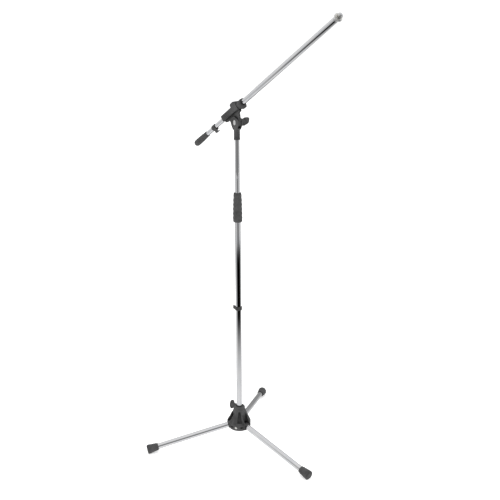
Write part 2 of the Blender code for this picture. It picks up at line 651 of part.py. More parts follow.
def build_tilt_knob(turntable):
    """Thumb knob, its threaded insert and the plain washer under it."""
    start = CHEEK_OUTER + GAP
    washer = pipe_outline(8 * MM, TILT_BOLT_R + GAP, start, start + TILT_WASHER_THICK)
    turned("tilt_washer", washer, "zinc_steel", turntable, "Y", FINE)
    side = empty("tilt_knob_axis", turntable, rotation=(0.0, 0.0, math.radians(90)))
    seat = start + TILT_WASHER_THICK + GAP
    insert_end = seat + INSERT_LENGTH
    insert = pipe_outline(INSERT_R, TILT_BOLT_R + GAP, seat, insert_end)
    turned("tilt_knob_insert", insert, "brass", side, "X", FINE)
    knob = paddle_knob(side, seat)
    bore = [(0.0, seat - 5 * MM), (INSERT_R + GAP, seat - 5 * MM), (INSERT_R + GAP, insert_end + GAP)]
    bore += [(TILT_BOLT_R + GAP, insert_end + GAP), (TILT_BOLT_R + GAP, TILT_BOLT_END + 0.5 * MM)]
    bore += [(0.0, TILT_BOLT_END + 0.5 * MM)]
    combine(knob, turned("tilt_knob_bore", bore, "chrome", side, "X", FINE), "DIFFERENCE")


# ---------------------------------------------------------------- holder and boom


def build_holder(tilt):
    """Box round the boom, with a lug that hangs between the fork's cheeks."""
    low = BOOM_OFFSET - 10 * MM
    high = BOOM_OFFSET + 10.5 * MM
    chamfer = 3 * MM
    section = [(-14 * MM + chamfer, low), (14 * MM - chamfer, low), (14 * MM, low + chamfer)]
    section += [(14 * MM, high - chamfer), (14 * MM - chamfer, high)]
    section += [(-14 * MM + chamfer, high), (-14 * MM, high - chamfer), (-14 * MM, low + chamfer)]
    holder = plate("boom_holder", section, HOLDER_BACK, HOLDER_FRONT, "black_plastic", tilt, "X")
    lug = [(HOLDER_BACK + 1 * MM, low + 2 * MM), (HOLDER_BACK + 1 * MM, low - 3.5 * MM)]
    lug += [(HOLDER_BACK + 3 * MM, low - 5.5 * MM), (-24 * MM, low - 5.5 * MM), (-21 * MM, low - 7 * MM)]
    lug += arc((0.0, 0.0), 15 * MM, 205, 320, 12)
    lug += [(27 * MM, low - 7 * MM), (36 * MM, low - 6 * MM), (36 * MM, low + 2 * MM)]
    half = LUG_HALF
    combine(holder, plate("holder_lug", lug, -half, half, "black_plastic", tilt), "UNION")
    hump = [(HUMP_BACK, low + 4 * MM), (HOLDER_FRONT - 0.5 * MM, low + 4 * MM)]
    hump += arc((HOLDER_FRONT - 7.5 * MM, high + 2.5 * MM), 7 * MM, 10, 90, 5)
    hump += arc((HUMP_BACK + 7 * MM, high + 2.5 * MM), 7 * MM, 90, 170, 5)
    rib = plate("holder_hump", hump, -13.5 * MM, 13.5 * MM, "black_plastic", tilt)
    combine(holder, rib, "UNION")
    bore_axis = empty("holder_bore_axis", tilt, (0.0, 0.0, BOOM_OFFSET))
    bore = rod_outline(BOOM_REAR_D / 2 + GAP, HOLDER_BACK - 10 * MM, HOLDER_FRONT + 10 * MM)
    combine(holder, turned("holder_bore", bore, "chrome", bore_axis, "X"), "DIFFERENCE")
    hole = rod_outline(TILT_BOLT_R + GAP, -30 * MM, 30 * MM)
    combine(holder, turned("holder_bolt_hole", hole, "chrome", tilt, "Y", FINE), "DIFFERENCE")
    split = [(-60 * MM, -20 * MM), (60 * MM, -20 * MM), (60 * MM, BOOM_OFFSET), (-60 * MM, BOOM_OFFSET)]
    slit = plate("holder_slit", split, -0.7 * MM, 0.7 * MM, "chrome", tilt)
    combine(holder, slit, "DIFFERENCE")


def build_boom_rear(boom):
    """Inner tube that slides in the holder, with its clip, weight, grip and front guide."""
    wall_r = BOOM_REAR_D / 2 - THIN_WALL
    tube("boom_inner_tube", BOOM_REAR_D, THIN_WALL, BOOM_REAR_END, INNER_TUBE_END, boom, "X")
    slug = rod_outline(wall_r - GAP, BOOM_REAR_END + 2 * MM, BOOM_REAR_END + 46 * MM, 1 * MM)
    turned("counterweight_slug", slug, "zinc_steel", boom, "X", FINE)
    bush_r = BOOM_FRONT_D / 2 - THIN_WALL - GAP
    end = INNER_TUBE_END
    bush = [(0.0, end - 14 * MM), (wall_r - GAP, end - 14 * MM), (wall_r - GAP, end + GAP)]
    bush += [(bush_r, end + GAP), (bush_r, end + 9 * MM), (bush_r - 1 * MM, end + 10 * MM)]
    bush += [(0.0, end + 10 * MM)]
    turned("boom_guide_bush", bush, "nylon", boom, "X", FINE)
    build_tail_grip(boom)
    side = empty("boom_clip_axis", boom, (BOOM_CLIP_X, 0.0, 0.0), (math.radians(BOOM_CLIP_TURN), 0.0, 0.0))
    cable_clip("boom_cable_clip", side, BOOM_REAR_D / 2, 3.2 * MM, 7.5 * MM, "X", 1)


def build_tail_grip(boom):
    """Rubber grip on the boom's tail: slim at the tube, fullest past its middle, round at the end."""
    mouth = TAIL_GRIP_START
    end = mouth - TAIL_GRIP_LENGTH
    bore = BOOM_REAR_D / 2 + GAP
    outline = [(bore, mouth), (8.8 * MM, mouth), (9.4 * MM, mouth - 1 * MM)]
    body_steps = 8
    full_r = 10.8 * MM
    for step in range(1, body_steps + 1):
        share = step / body_steps
        radius = 9.3 * MM + (full_r - 9.3 * MM) * math.sin(share * math.pi * 0.66) / math.sin(math.pi * 0.5)
        outline.append((radius, mouth - 1 * MM - (TAIL_GRIP_LENGTH - 13 * MM) * share))
    last_r, last_x = outline[-1]
    for step in range(1, 6):
        angle = math.radians(90 * step / 6)
        outline.append((last_r * math.cos(angle), last_x - (last_x - end) * math.sin(angle)))
    outline += [(0.0, end), (0.0, BOOM_REAR_END - GAP), (bore, BOOM_REAR_END - GAP)]
    turned("tail_grip", outline[::-1], "black_rubber", boom, "X")


def build_boom_front(boom):
    """Outer tube that telescopes on the inner one, with its collet and microphone thread."""
    start = HOLDER_FRONT + 11.5 * MM
    tube("boom_outer_tube", BOOM_FRONT_D, THIN_WALL, start, BOOM_FRONT_END, boom, "X")
    inner = BOOM_REAR_D / 2 + GAP
    ring = [(inner, start - 9 * MM), (COLLET_R - 1.8 * MM, start - 9 * MM), (COLLET_R, start - 4 * MM)]
    ring += [(COLLET_R, start - GAP), (inner, start - GAP)]
    turned("boom_collet", ring[::-1], "nylon", boom, "X")
    end = BOOM_FRONT_END
    plug_r = BOOM_FRONT_D / 2 - THIN_WALL - GAP
    stud = [(0.0, end - 20 * MM), (plug_r, end - 20 * MM)]
    stud += [(plug_r, end + GAP), (BOOM_FRONT_D / 2, end + GAP)]
    stud += [(BOOM_FRONT_D / 2, end + 1.5 * MM), (6.2 * MM, end + 2.5 * MM)]
    stud += [(6.2 * MM, end + THREAD_START - GAP), (4.7 * MM, end + THREAD_START - GAP)]
    stud += [(4.7 * MM, end + TIP_END - 1 * MM), (4.0 * MM, end + TIP_END), (0.0, end + TIP_END)]
    turned("tip_stud", stud, "chrome", boom, "X", FINE)
    thread = [(5.0 * MM, end + THREAD_START)]
    for turn in range(THREAD_TURNS):
        low = end + THREAD_START + THREAD_PITCH * turn
        thread += [(7.35 * MM, low), (7.95 * MM, low + THREAD_PITCH / 2)]
    last = end + THREAD_START + THREAD_PITCH * THREAD_TURNS
    thread += [(7.35 * MM, last), (5.0 * MM, last)]
    turned("thread_adaptor", thread, "zinc_steel", boom, "X", FINE)


def build_boom_clutch(boom):
    """Lobed nut that closes the boom's collet."""
    start = HOLDER_FRONT + GAP
    end = start + CLUTCH_LENGTH
    inner = BOOM_REAR_D / 2 + 0.5 * MM
    outer = BOOM_FRONT_D / 2 + GAP
    collet_end = HOLDER_FRONT + 11.9 * MM
    outline = [(inner, start), (CLUTCH_R - 0.8 * MM, start), (CLUTCH_R - 0.2 * MM, start + 1 * MM)]
    outline += [(CLUTCH_R, end - 9 * MM), (CLUTCH_R + 0.4 * MM, end - 2 * MM), (CLUTCH_R - 0.6 * MM, end)]
    outline += [(outer, end), (outer, collet_end), (COLLET_R + GAP, collet_end)]
    outline += [(COLLET_R + GAP, start + 2 * MM), (inner, start + 2 * MM)]
    first = math.radians(CLUTCH_LOBE_TURN)

    def lobes(radius, height, angle):
        """Three rounded finger lobes."""
        if radius < 12 * MM:
            return radius
        return radius + CLUTCH_LOBE * (0.5 + 0.5 * math.cos(3 * (angle - first))) ** 2

    turned("boom_clutch_nut", outline[::-1], "black_plastic", boom, "X", 30, lobes)


def build_lock_ring(boom):
    """Knurled ring that locks a microphone clip on the thread."""
    start = BOOM_FRONT_END + LOCK_RING_START
    inner = 8.25 * MM
    outline = [(inner, start), (11 * MM, start), (12.4 * MM, start + 1 * MM)]
    outline += [(12.4 * MM, start + 7 * MM), (11.6 * MM, start + 8 * MM), (inner, start + 8 * MM)]

    def knurl(radius, height, angle):
        if radius < 12 * MM:
            return radius
        return radius - 0.5 * MM * (0.5 - 0.5 * math.cos(16 * angle))

    turned("lock_ring", outline, "zinc_steel", boom, "X", 32, knurl)


def build_stand():
    stand = empty("stand", None, (POLE_X, POLE_Y, 0.0))
    screw_side = build_base(stand)
    build_hub_knob(screw_side)
    build_legs(stand)
    build_height_grip(stand)
    build_upper_pole(stand)
    turntable = empty("tilt_pivot", stand, (0.0, 0.0, TILT_Z), (0.0, 0.0, math.radians(BOOM_AZIMUTH)))
    build_yoke(turntable)
    build_tilt_bolt(turntable)
    build_tilt_knob(turntable)
    tilt = empty("tilt_frame", turntable, rotation=(0.0, -math.radians(BOOM_ELEVATION), 0.0))
    build_holder(tilt)
    boom = empty("boom_axis", tilt, (0.0, 0.0, BOOM_OFFSET))
    build_boom_rear(boom)
    build_boom_front(boom)
    build_boom_clutch(boom)
    build_lock_ring(boom)


clear_scene()
build_stand()
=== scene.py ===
"""Looks of the boom microphone stand: detailed pieces, materials, studio and camera.

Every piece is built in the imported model's own frame, in metres, from the joints' places and the
stand's dimensions, and rides on the body that its CAD node belongs to.
"""

import json
import math

import bmesh
import bpy
from mathutils import Matrix, Vector


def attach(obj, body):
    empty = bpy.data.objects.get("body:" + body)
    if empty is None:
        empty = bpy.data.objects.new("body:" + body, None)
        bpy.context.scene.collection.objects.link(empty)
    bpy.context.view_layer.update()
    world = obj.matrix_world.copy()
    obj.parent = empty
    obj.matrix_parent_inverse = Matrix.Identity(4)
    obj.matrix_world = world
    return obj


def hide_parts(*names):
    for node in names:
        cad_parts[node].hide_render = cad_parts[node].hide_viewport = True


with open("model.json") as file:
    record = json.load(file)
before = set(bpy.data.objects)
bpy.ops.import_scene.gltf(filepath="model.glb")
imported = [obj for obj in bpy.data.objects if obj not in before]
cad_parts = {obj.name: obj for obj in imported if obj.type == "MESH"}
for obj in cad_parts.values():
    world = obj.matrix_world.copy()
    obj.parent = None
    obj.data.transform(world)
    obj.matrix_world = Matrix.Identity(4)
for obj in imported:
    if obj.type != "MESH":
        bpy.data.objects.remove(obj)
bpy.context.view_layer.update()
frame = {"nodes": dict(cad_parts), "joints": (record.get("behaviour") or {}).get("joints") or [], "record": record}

MM = 0.001
JOINTS = {joint["name"]: joint for joint in frame["joints"]}

# Tubes: outer radii and walls, and the play round a part that slides or turns.
LOWER_TUBE_R = 10.0 * MM
UPPER_TUBE_R = 8.0 * MM
BOOM_FRONT_R = 8.6 * MM
BOOM_REAR_R = 7.3 * MM
LEG_TUBE_R = 10.0 * MM
HEAVY_WALL = 1.2 * MM
THIN_WALL = 1.0 * MM
GAP = 0.3 * MM

# Tripod hub and legs, with angles in degrees.
LEGS = (1, 2, 3)
LEG_AZIMUTHS = (74.6, 194.6, 314.6)
LEG_SLOPE = 10.6
LEG_APEX_Z = 76.5 * MM
HINGE_R = 33.0 * MM
PIN_HOLE_R = 3.3 * MM
FOOT_START_R = 300.0 * MM
FOOT_LENGTH = 40.7 * MM
HUB_BOTTOM_Z = 57.0 * MM
HUB_TOP_Z = 141.5 * MM
HUB_LIP_R = 13.6 * MM
HUB_NECK_R = 20.5 * MM
HUB_SKIRT_R = 40.5 * MM
HUB_SKIRT_TOP_Z = 80.0 * MM
HUB_NECK_Z = 131.0 * MM
HOUSING_R = 42.5 * MM
HOUSING_HALF_WIDTH = 14.5 * MM
SLOT_HALF_WIDTH = 10.5 * MM
SLOT_INNER_R = 22.3 * MM
PANEL_TURN = 76.4
PANEL_LOW_Z = 86.0 * MM
PANEL_HIGH_Z = 124.5 * MM
PANEL_LOW_HALF = 8.6 * MM
PANEL_HIGH_HALF = 3.6 * MM
PANEL_DEPTH = 8.5 * MM
RIVET_AZIMUTH = 252.0
RIVET_Z = 70.0 * MM
RIVET_SHANK_R = 2.0 * MM
RIVET_HEAD_R = 4.6 * MM
SCREW_BOSS_R = 9.0 * MM
SCREW_HOLE_R = 3.4 * MM
KNOB_START = 26.5 * MM
KNOB_LENGTH = 21.0 * MM
KNOB_HALF_SPAN = 16.5 * MM
KNOB_HALF_THICK = 2.7 * MM
KNOB_ROOT_R = 7.0 * MM
KNOB_TURN = 12

# Pole.
GRIP_BOTTOM_Z = 835.6 * MM
GRIP_TOP_Z = 934.6 * MM
GRIP_R = 16.0 * MM
GRIP_BORE_R = 12.7 * MM
GRIP_WAVE_PITCH = 15.2 * MM
GRIP_WAVE_DEPTH = 1.1 * MM
POLE_CLIP_Z = 525.0 * MM
POLE_CLIP_TURN = -33.0
CLIP_WALL = 2.2 * MM
YOKE_BOTTOM_Z = 1109.0 * MM
YOKE_SHOULDER_Z = 1141.0 * MM

# Tilt joint and boom, with stations along the boom counted from the tilt pivot.
BOOM_OFFSET = 36.6 * MM
YOKE_SLEEVE_R = 10.4 * MM
FORK_GAP_FLOOR = -18.6 * MM
FLUTE_ANGLES = (-41, -13, 13, 41, 139, 167, 193, 221)
FLUTE_DEPTH = 0.9 * MM
FLUTE_WIDTH = 0.075
CHEEK_R = 15.5 * MM
CHEEK_BACK_R = 19.0 * MM
CHEEK_INNER = 6.8 * MM
CHEEK_OUTER = 11.8 * MM
LUG_HALF = 5.2 * MM
TILT_BOLT_R = 4.0 * MM
TILT_BOLT_END = 34.0 * MM
BOLT_HEAD_HALF_WIDTH = 5.0 * MM
BOLT_HEAD_HALF_HEIGHT = 8.2 * MM
TILT_KNOB_R = 10.5 * MM
PADDLE_LENGTH = 37.0 * MM
PADDLE_HALF_THICK = 3.2 * MM
PADDLE_TURN = 10
HOLDER_BACK = -39.0 * MM
HOLDER_FRONT = 40.0 * MM
HOLDER_HALF_WIDTH = 14.0 * MM
HOLDER_BELOW = 10.0 * MM
HOLDER_ABOVE = 10.5 * MM
HUMP_BACK = 15.0 * MM
HUMP_HALF_WIDTH = 13.5 * MM
HUMP_CORNER_R = 7.0 * MM
LUG_R = 15.0 * MM
SLIT_HALF = 0.7 * MM
CLUTCH_LENGTH = 19.5 * MM
CLUTCH_R = 13.4 * MM
CLUTCH_LOBE = 4.4 * MM
CLUTCH_LOBE_TURN = -68.0
COLLET_R = 11.0 * MM
BOOM_FRONT_END = 483.0 * MM
THREAD_START = 6.3 * MM
THREAD_LENGTH = 16.7 * MM
THREAD_R = 7.6 * MM
THREAD_PITCH = 25.4 * MM / 27
THREAD_HALF_DEPTH = 0.45 * MM
LOCK_RING_START = 7.0 * MM
LOCK_RING_LENGTH = 8.0 * MM
LOCK_RING_R = 12.4 * MM
KNURL_TEETH = 36
KNURL_DEPTH = 0.55 * MM
STUD_R = 4.7 * MM
TIP_END = 24.5 * MM
TAIL_GRIP_START = -137.0 * MM
TAIL_GRIP_LENGTH = 72.0 * MM
BOOM_REAR_END = -200.0 * MM
BOOM_CLIP_X = -95.0 * MM
BOOM_CLIP_TURN = -75.0

# Camera.
CAMERA_BACK = 2.30
CAMERA_RIGHT = 0.0405
CAMERA_HEIGHT = 1.5145
CAMERA_PITCH = 18.7
CAMERA_ROLL = -0.19
FOCAL_SHARE = 721.2 / 500
SENSOR_MM = 36.0

# Studio.
FLOOR_HALF = 12.0
CARD_R = 9.05
CARD_LIFT = 0.004
DOME_R = 9.2

SMOOTH_STEPS = 96


# ---- frames


def joint_point(name):
    return Vector(JOINTS[name]["pos_m"])


def joint_axis(name):
    return Vector(JOINTS[name]["axis"]).normalized()


def axes_matrix(origin, x_axis, y_axis):
    """A right-handed frame at a point, with this X axis and, as nearly as can be, this Y axis."""
    x_axis = x_axis.normalized()
    z_axis = x_axis.cross(y_axis).normalized()
    y_axis = z_axis.cross(x_axis)
    turned = Matrix((x_axis, y_axis, z_axis)).transposed().to_4x4()
    return Matrix.Translation(origin) @ turned


POLE = Vector((*joint_point("boom_pan")[:2], 0.0))
UP = Vector((0.0, 0.0, 1.0))
STAND = Matrix.Translation(POLE)
TILT_POINT = joint_point("boom_tilt")
TILT_SIDE = -joint_axis("boom_tilt")
YOKE = axes_matrix(TILT_POINT, TILT_SIDE.cross(UP), TILT_SIDE)
TILT = axes_matrix(TILT_POINT, joint_axis("boom_slide"), TILT_SIDE)
BOOM = TILT @ Matrix.Translation((0.0, 0.0, BOOM_OFFSET))


def turn_x(degrees):
    return Matrix.Rotation(math.radians(degrees), 4, "X")


def turn_y(degrees):
    return Matrix.Rotation(math.radians(degrees), 4, "Y")


def turn_z(degrees):
    return Matrix.Rotation(math.radians(degrees), 4, "Z")


def leg_matrix(number):
    """Hinge frame of one leg: X runs out along the leg and down, Y along the pin."""
    name = f"leg_fold_{number}"
    return axes_matrix(joint_point(name), -joint_axis(name).cross(UP), -joint_axis(name)) @ turn_y(LEG_SLOPE)


def leg_direction(number):
    return leg_matrix(number).to_3x3() @ Vector((1.0, 0.0, 0.0))


# ---- mesh tools


def arc(centre, radius, start, end, steps):
    """Points on an arc, with angles in degrees."""
    found = []
    for step in range(steps + 1):
        angle = math.radians(start + (end - start) * step / steps)
        found.append((centre[0] + radius * math.cos(angle), centre[1] + radius * math.sin(angle)))
    return found


def oval(centre, first_half, second_half, steps=40):
    """Closed ellipse."""
    found = []
    for step in range(steps):
        angle = 2 * math.pi * step / steps
        found.append((centre[0] + first_half * math.cos(angle), centre[1] + second_half * math.sin(angle)))
    return found


def soften(outline, radius, steps=4):
    """Rounds every corner of a closed outline as far as its edges allow, except on the axis."""
    points = [Vector(point) for point in outline]
    found = []
    for index, corner in enumerate(points):
        before = points[index - 1] - corner
        after = points[(index + 1) % len(points)] - corner
        cut = min(radius, 0.45 * before.length, 0.45 * after.length)
        if corner.x < 1e-6 or cut < 1e-6:
            found.append(tuple(corner))
            continue
        start = corner + before.normalized() * cut
        end = corner + after.normalized() * cut
        for step in range(steps + 1):
            share = step / steps
            blend = start.lerp(corner, share).lerp(corner.lerp(end, share), share)
            found.append(tuple(blend))
    return found


def smooth_step(low, high, value):
    share = min(max((value - low) / (high - low), 0.0), 1.0)
    return share * share * (3.0 - 2.0 * share)


def new_object(name, data):
    made = bpy.data.objects.new(name, data)
    bpy.context.scene.collection.objects.link(made)
    return made


def make_object(name, points, faces, place):
    """A closed mesh object at the origin, with its place in its points."""
    mesh = bpy.data.meshes.new(name)
    mesh.from_pydata([tuple(point) for point in points], [], faces)
    work = bmesh.new()
    work.from_mesh(mesh)
    bmesh.ops.recalc_face_normals(work, faces=work.faces)
    work.to_mesh(mesh)
    work.free()
    mesh.transform(place)
    mesh.shade_smooth()
    mesh.set_sharp_from_angle(angle=math.radians(40))
    return new_object(name, mesh)


def turned(name, outline, place, along="Z", steps=SMOOTH_STEPS, ripple=None):
    """A solid of revolution from a closed outline of (radius, height)."""
    points = []
    rings = []
    for radius, height in outline:
        count = 1 if radius < 1e-9 else steps
        ring = []
        for step in range(count):
            angle = 2 * math.pi * step / steps
            reach = ripple(radius, height, angle) if ripple else radius
            across = (reach * math.cos(angle), reach * math.sin(angle))
            ring.append(len(points))
            if along == "Z":
                points.append((across[0], across[1], height))
            elif along == "X":
                points.append((height, across[0], across[1]))
            else:
                points.append((across[1], height, across[0]))
        rings.append(ring)
    faces = []
    for index, ring in enumerate(rings):
        following = rings[(index + 1) % len(rings)]
        if len(ring) == 1 and len(following) == 1:
            continue
        for step in range(steps):
            corners = [ring[step % len(ring)], ring[(step + 1) % len(ring)]]
            corners += [following[(step + 1) % len(following)], following[step % len(following)]]
            faces.append(tuple(dict.fromkeys(corners)))
    return make_object(name, points, faces, place)


def plate(name, outline, low, high, place, along="Y"):
    """A flat outline drawn in the two other axes and carried from low to high along one axis."""
    points = []
    for level in (low, high):
        for first, second in outline:
            if along == "Y":
                points.append((first, level, second))
            elif along == "X":
                points.append((level, first, second))
            else:
                points.append((first, second, level))
    count = len(outline)
    faces = [tuple(range(count)), tuple(range(2 * count - 1, count - 1, -1))]
    for index in range(count):
        after = (index + 1) % count
        faces.append((index, after, count + after, count + index))
    return make_object(name, points, faces, place)


def moulded(base, joined, removed, voxel, rounds):
    """Joins and cuts solids, then remeshes and smooths the result into one soft-edged moulding."""
    for operation, others in (("UNION", joined), ("DIFFERENCE", removed)):
        for other in others:
            step = base.modifiers.new(operation.lower(), "BOOLEAN")
            step.operation = operation
            step.object = other
    remesh = base.modifiers.new("remesh", "REMESH")
    remesh.mode = "VOXEL"
    remesh.voxel_size = voxel
    relax = base.modifiers.new("relax", "SMOOTH")
    relax.factor = 0.5
    relax.iterations = rounds
    bpy.context.view_layer.update()
    evaluated = base.evaluated_get(bpy.context.evaluated_depsgraph_get())
    mesh = bpy.data.meshes.new_from_object(evaluated)
    mesh.shade_smooth()
    base.modifiers.clear()
    base.data = mesh
    for other in (*joined, *removed):
        bpy.data.objects.remove(other, do_unlink=True)
    return base


def box(left, right, low, high):
    return [(left, low), (right, low), (right, high), (left, high)]


def rod(radius, start, end, edge=0.0):
    outline = box(0.0, radius, start, end)
    return soften(outline, edge) if edge else outline


def from_base(base, *pairs):
    """Outline points from millimetres, with the second number counted from a base."""
    return [(radius * MM, base + height * MM) for radius, height in pairs]


def dress(piece, surfaces, slot, body, *nodes, look=None):
    """Gives a finished piece its material and its body, and hides the CAD nodes that it stands for."""
    piece.data.materials.clear()
    piece.data.materials.append(surfaces[look or slot])
    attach(piece, body)
    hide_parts(*nodes)


# ---- material tools


class Surface:
    """A node material in the making: a Principled shader and short calls that feed it."""

    def __init__(self, name, colour, roughness, metallic=0.0):
        self.material = bpy.data.materials.new(name)
        self.material.use_nodes = True
        self.tree = self.material.node_tree
        self.shader = self.tree.nodes["Principled BSDF"]
        self.set("Base Color", (*colour, 1.0))
        self.set("Roughness", roughness)
        self.set("Metallic", metallic)
        self.place = self.tree.nodes.new("ShaderNodeTexCoord").outputs["Object"]

    def link(self, source, target):
        self.tree.links.new(source, target)

    def add(self, kind, values, links):
        """A new node, with input values and links given by socket name."""
        node = self.tree.nodes.new("ShaderNode" + kind)
        for socket, value in values.items():
            node.inputs[socket].default_value = value
        for socket, source in links.items():
            self.link(source, node.inputs[socket])
        return node

    def set(self, socket, value):
        self.shader.inputs[socket].default_value = value

    def stretched(self, scale, turn):
        """Object coordinates, turned and then scaled, so that a pattern can run along a tube."""
        values = {"Scale": scale, "Rotation": turn}
        return self.add("Mapping", values, {"Vector": self.place}).outputs["Vector"]

    def noise(self, scale, detail=4.0, rough=0.55, where=None):
        values = {"Scale": scale, "Detail": detail, "Roughness": rough}
        return self.add("TexNoise", values, {"Vector": where or self.place}).outputs["Fac"]

    def cells(self, scale):
        return self.add("TexVoronoi", {"Scale": scale}, {"Vector": self.place}).outputs["Distance"]

    def ramp(self, source, low, high, first, second):
        """Maps a value between low and high to a number between first and second."""
        values = {"From Min": low, "From Max": high, "To Min": first, "To Max": second}
        return self.add("MapRange", values, {"Value": source}).outputs["Result"]

    def math(self, operation, first, second):
        node = self.tree.nodes.new("ShaderNodeMath")
        node.operation = operation
        self.link(first, node.inputs[0])
        if isinstance(second, float):
            node.inputs[1].default_value = second
        else:
            self.link(second, node.inputs[1])
        return node.outputs["Value"]

    def mix(self, share, first, second):
        """Colour mix. Each colour is a tuple or another socket."""
        node = self.tree.nodes.new("ShaderNodeMix")
        node.data_type = "RGBA"
        self.link(share, node.inputs["Factor"])
        for socket, colour in ((node.inputs[6], first), (node.inputs[7], second)):
            if isinstance(colour, tuple):
                socket.default_value = (*colour, 1.0)
            else:
                self.link(colour, socket)
        return node.outputs[2]

    def edges(self, low, high):
        """0 on flat ground and 1 on sharp outer edges."""
        geometry = self.tree.nodes.new("ShaderNodeNewGeometry")
        return self.ramp(geometry.outputs["Pointiness"], low, high, 0.0, 1.0)

    def hollows(self, reach):
        """Mask for painted shade: 1 on open ground and 0 deep in corners and slots."""
        node = self.add("AmbientOcclusion", {"Distance": reach}, {})
        node.samples = 8
        return self.ramp(node.outputs["AO"], 0.35, 0.92, 0.0, 1.0)

    def rim(self, low, high):
        """Mask for painted shade on outlines: 0 where the surface faces the eye and 1 where it turns away."""
        weight = self.add("LayerWeight", {"Blend": 0.5}, {})
        return self.ramp(weight.outputs["Facing"], low, high, 0.0, 1.0)

    def colour(self, source):
        self.link(source, self.shader.inputs["Base Color"])

    def rough(self, source):
        self.link(source, self.shader.inputs["Roughness"])

    def bump(self, source, strength, distance, under=None):
        links = {"Height": source} if under is None else {"Height": source, "Normal": under}
        node = self.add("Bump", {"Strength": strength, "Distance": distance}, links)
        self.link(node.outputs["Normal"], self.shader.inputs["Normal"])
        return node.outputs["Normal"]


def shade(colour, factor):
    return tuple(factor * part for part in colour)


def tinted(colour, factors):
    return tuple(part * factor for part, factor in zip(colour, factors))


def moulded_plastic(name, colour, roughness, grain):
    """Spark-eroded black moulding: fine grain, faint flow marks, light specks, worn edges, painted shade in
    hollows and painted shade on outlines that turn away from the eye.
    """
    made = Surface(name, colour, roughness)
    flow = made.noise(26.0, 3.0)
    body = made.mix(made.ramp(flow, 0.35, 0.68, 0.0, 1.0), shade(colour, 0.72), shade(colour, 1.45))
    speck = made.ramp(made.noise(1900.0, 2.0), 0.6, 0.74, 0.0, 0.35)
    body = made.mix(speck, body, shade(colour, 2.2))
    worn = made.math("MULTIPLY", made.edges(0.52, 0.62), made.ramp(made.noise(90.0), 0.35, 0.7, 0.1, 0.75))
    body = made.mix(worn, body, shade(colour, 2.6))
    # Painted shade: the colour darkens deep in corners, slots and recesses.
    body = made.mix(made.hollows(14 * MM), shade(colour, 0.3), body)
    # Painted shade: darker where the surface turns away from the eye.
    made.colour(made.mix(made.rim(0.45, 0.95), body, shade(colour, 0.3)))
    made.rough(made.ramp(made.noise(140.0, 5.0), 0.3, 0.7, roughness - 0.07, roughness + 0.1))
    low = made.bump(made.noise(320.0, 2.0), 0.12, 0.0004)
    made.bump(made.cells(grain), 0.35, 0.00012, low)
    made.set("Specular IOR Level", 0.42)
    return made.material


def soft_rubber(name, colour, roughness, grain, dust):
    """Matt rubber: soft mottling, a bloom of dust in it, a dull sheen and painted shade on outlines that turn away
    from the eye.
    """
    made = Surface(name, colour, roughness)
    cloud = made.ramp(made.noise(38.0, 6.0, 0.6), 0.38, 0.7, 0.0, 1.0)
    body = made.mix(cloud, shade(colour, 0.75), shade(colour, 1.4))
    patch = made.ramp(made.noise(210.0, 8.0, 0.7), 0.55, 0.8, 0.0, dust)
    body = made.mix(patch, body, (0.19, 0.18, 0.165))
    # Painted shade: darker where the surface turns away from the eye.
    made.colour(made.mix(made.rim(0.45, 0.95), body, shade(colour, 0.35)))
    made.rough(made.ramp(made.noise(120.0), 0.3, 0.7, roughness - 0.08, roughness + 0.08))
    low = made.bump(made.noise(420.0, 3.0), 0.2, 0.0003)
    made.bump(made.cells(grain), 0.4, 0.00015, low)
    made.set("Specular IOR Level", 0.3)
    made.set("Sheen Weight", 0.08)
    return made.material


def chrome(name, direction, tint=(0.83, 0.83, 0.84)):
    """Bright plating on drawn tube: faint draw lines along it, hazy smudges, tiny pits and painted shade on
    outlines that turn away from the eye.
    """
    made = Surface(name, tint, 0.07, 1.0)
    turn = UP.rotation_difference(direction).inverted().to_euler()
    lines = made.noise(1.0, 3.0, 0.6, made.stretched((900.0, 900.0, 5.0), tuple(turn)))
    smudge = made.noise(22.0, 6.0, 0.62)
    pits = made.ramp(made.noise(1300.0, 1.0), 0.7, 0.8, 0.0, 1.0)
    haze = made.ramp(smudge, 0.42, 0.75, 0.0, 1.0)
    cooler = tinted(tint, (0.92, 0.94, 0.97))
    body = made.mix(haze, tint, cooler)
    body = made.mix(made.math("MULTIPLY", pits, 0.35), body, (0.45, 0.44, 0.42))
    # Painted shade: darker where the tube turns away from the eye.
    made.colour(made.mix(made.rim(0.5, 0.95), body, shade(tint, 0.7)))
    streaks = made.ramp(lines, 0.3, 0.7, 0.03, 0.06)
    made.rough(made.math("ADD", streaks, made.ramp(smudge, 0.5, 0.8, 0.0, 0.07)))
    made.bump(lines, 0.06, 0.00004)
    return made.material


def plated_steel(name, colour, roughness, lines):
    """Turned and plated steel: tool marks, a mottled passivated film and stains."""
    made = Surface(name, colour, roughness, 1.0)
    film = made.noise(150.0, 5.0, 0.6)
    warm = tinted(colour, (1.04, 1.0, 0.9))
    body = made.mix(made.ramp(film, 0.35, 0.7, 0.0, 1.0), colour, warm)
    stain = made.ramp(made.noise(520.0, 6.0, 0.7), 0.6, 0.78, 0.0, 0.5)
    made.colour(made.mix(stain, body, shade(colour, 0.5)))
    made.rough(made.ramp(film, 0.3, 0.75, roughness - 0.08, roughness + 0.12))
    made.bump(made.noise(lines, 2.0), 0.18, 0.00006)
    return made.material


def natural_nylon(name):
    """Waxy off-white nylon with faint yellowing and a fine grain."""
    made = Surface(name, (0.78, 0.76, 0.7), 0.45)
    aged = made.ramp(made.noise(60.0, 4.0), 0.35, 0.7, 0.0, 1.0)
    made.colour(made.mix(aged, (0.8, 0.79, 0.74), (0.72, 0.69, 0.58)))
    made.rough(made.ramp(made.noise(200.0), 0.3, 0.7, 0.38, 0.55))
    made.bump(made.noise(900.0), 0.2, 0.0001)
    made.set("Subsurface Weight", 0.1)
    return made.material


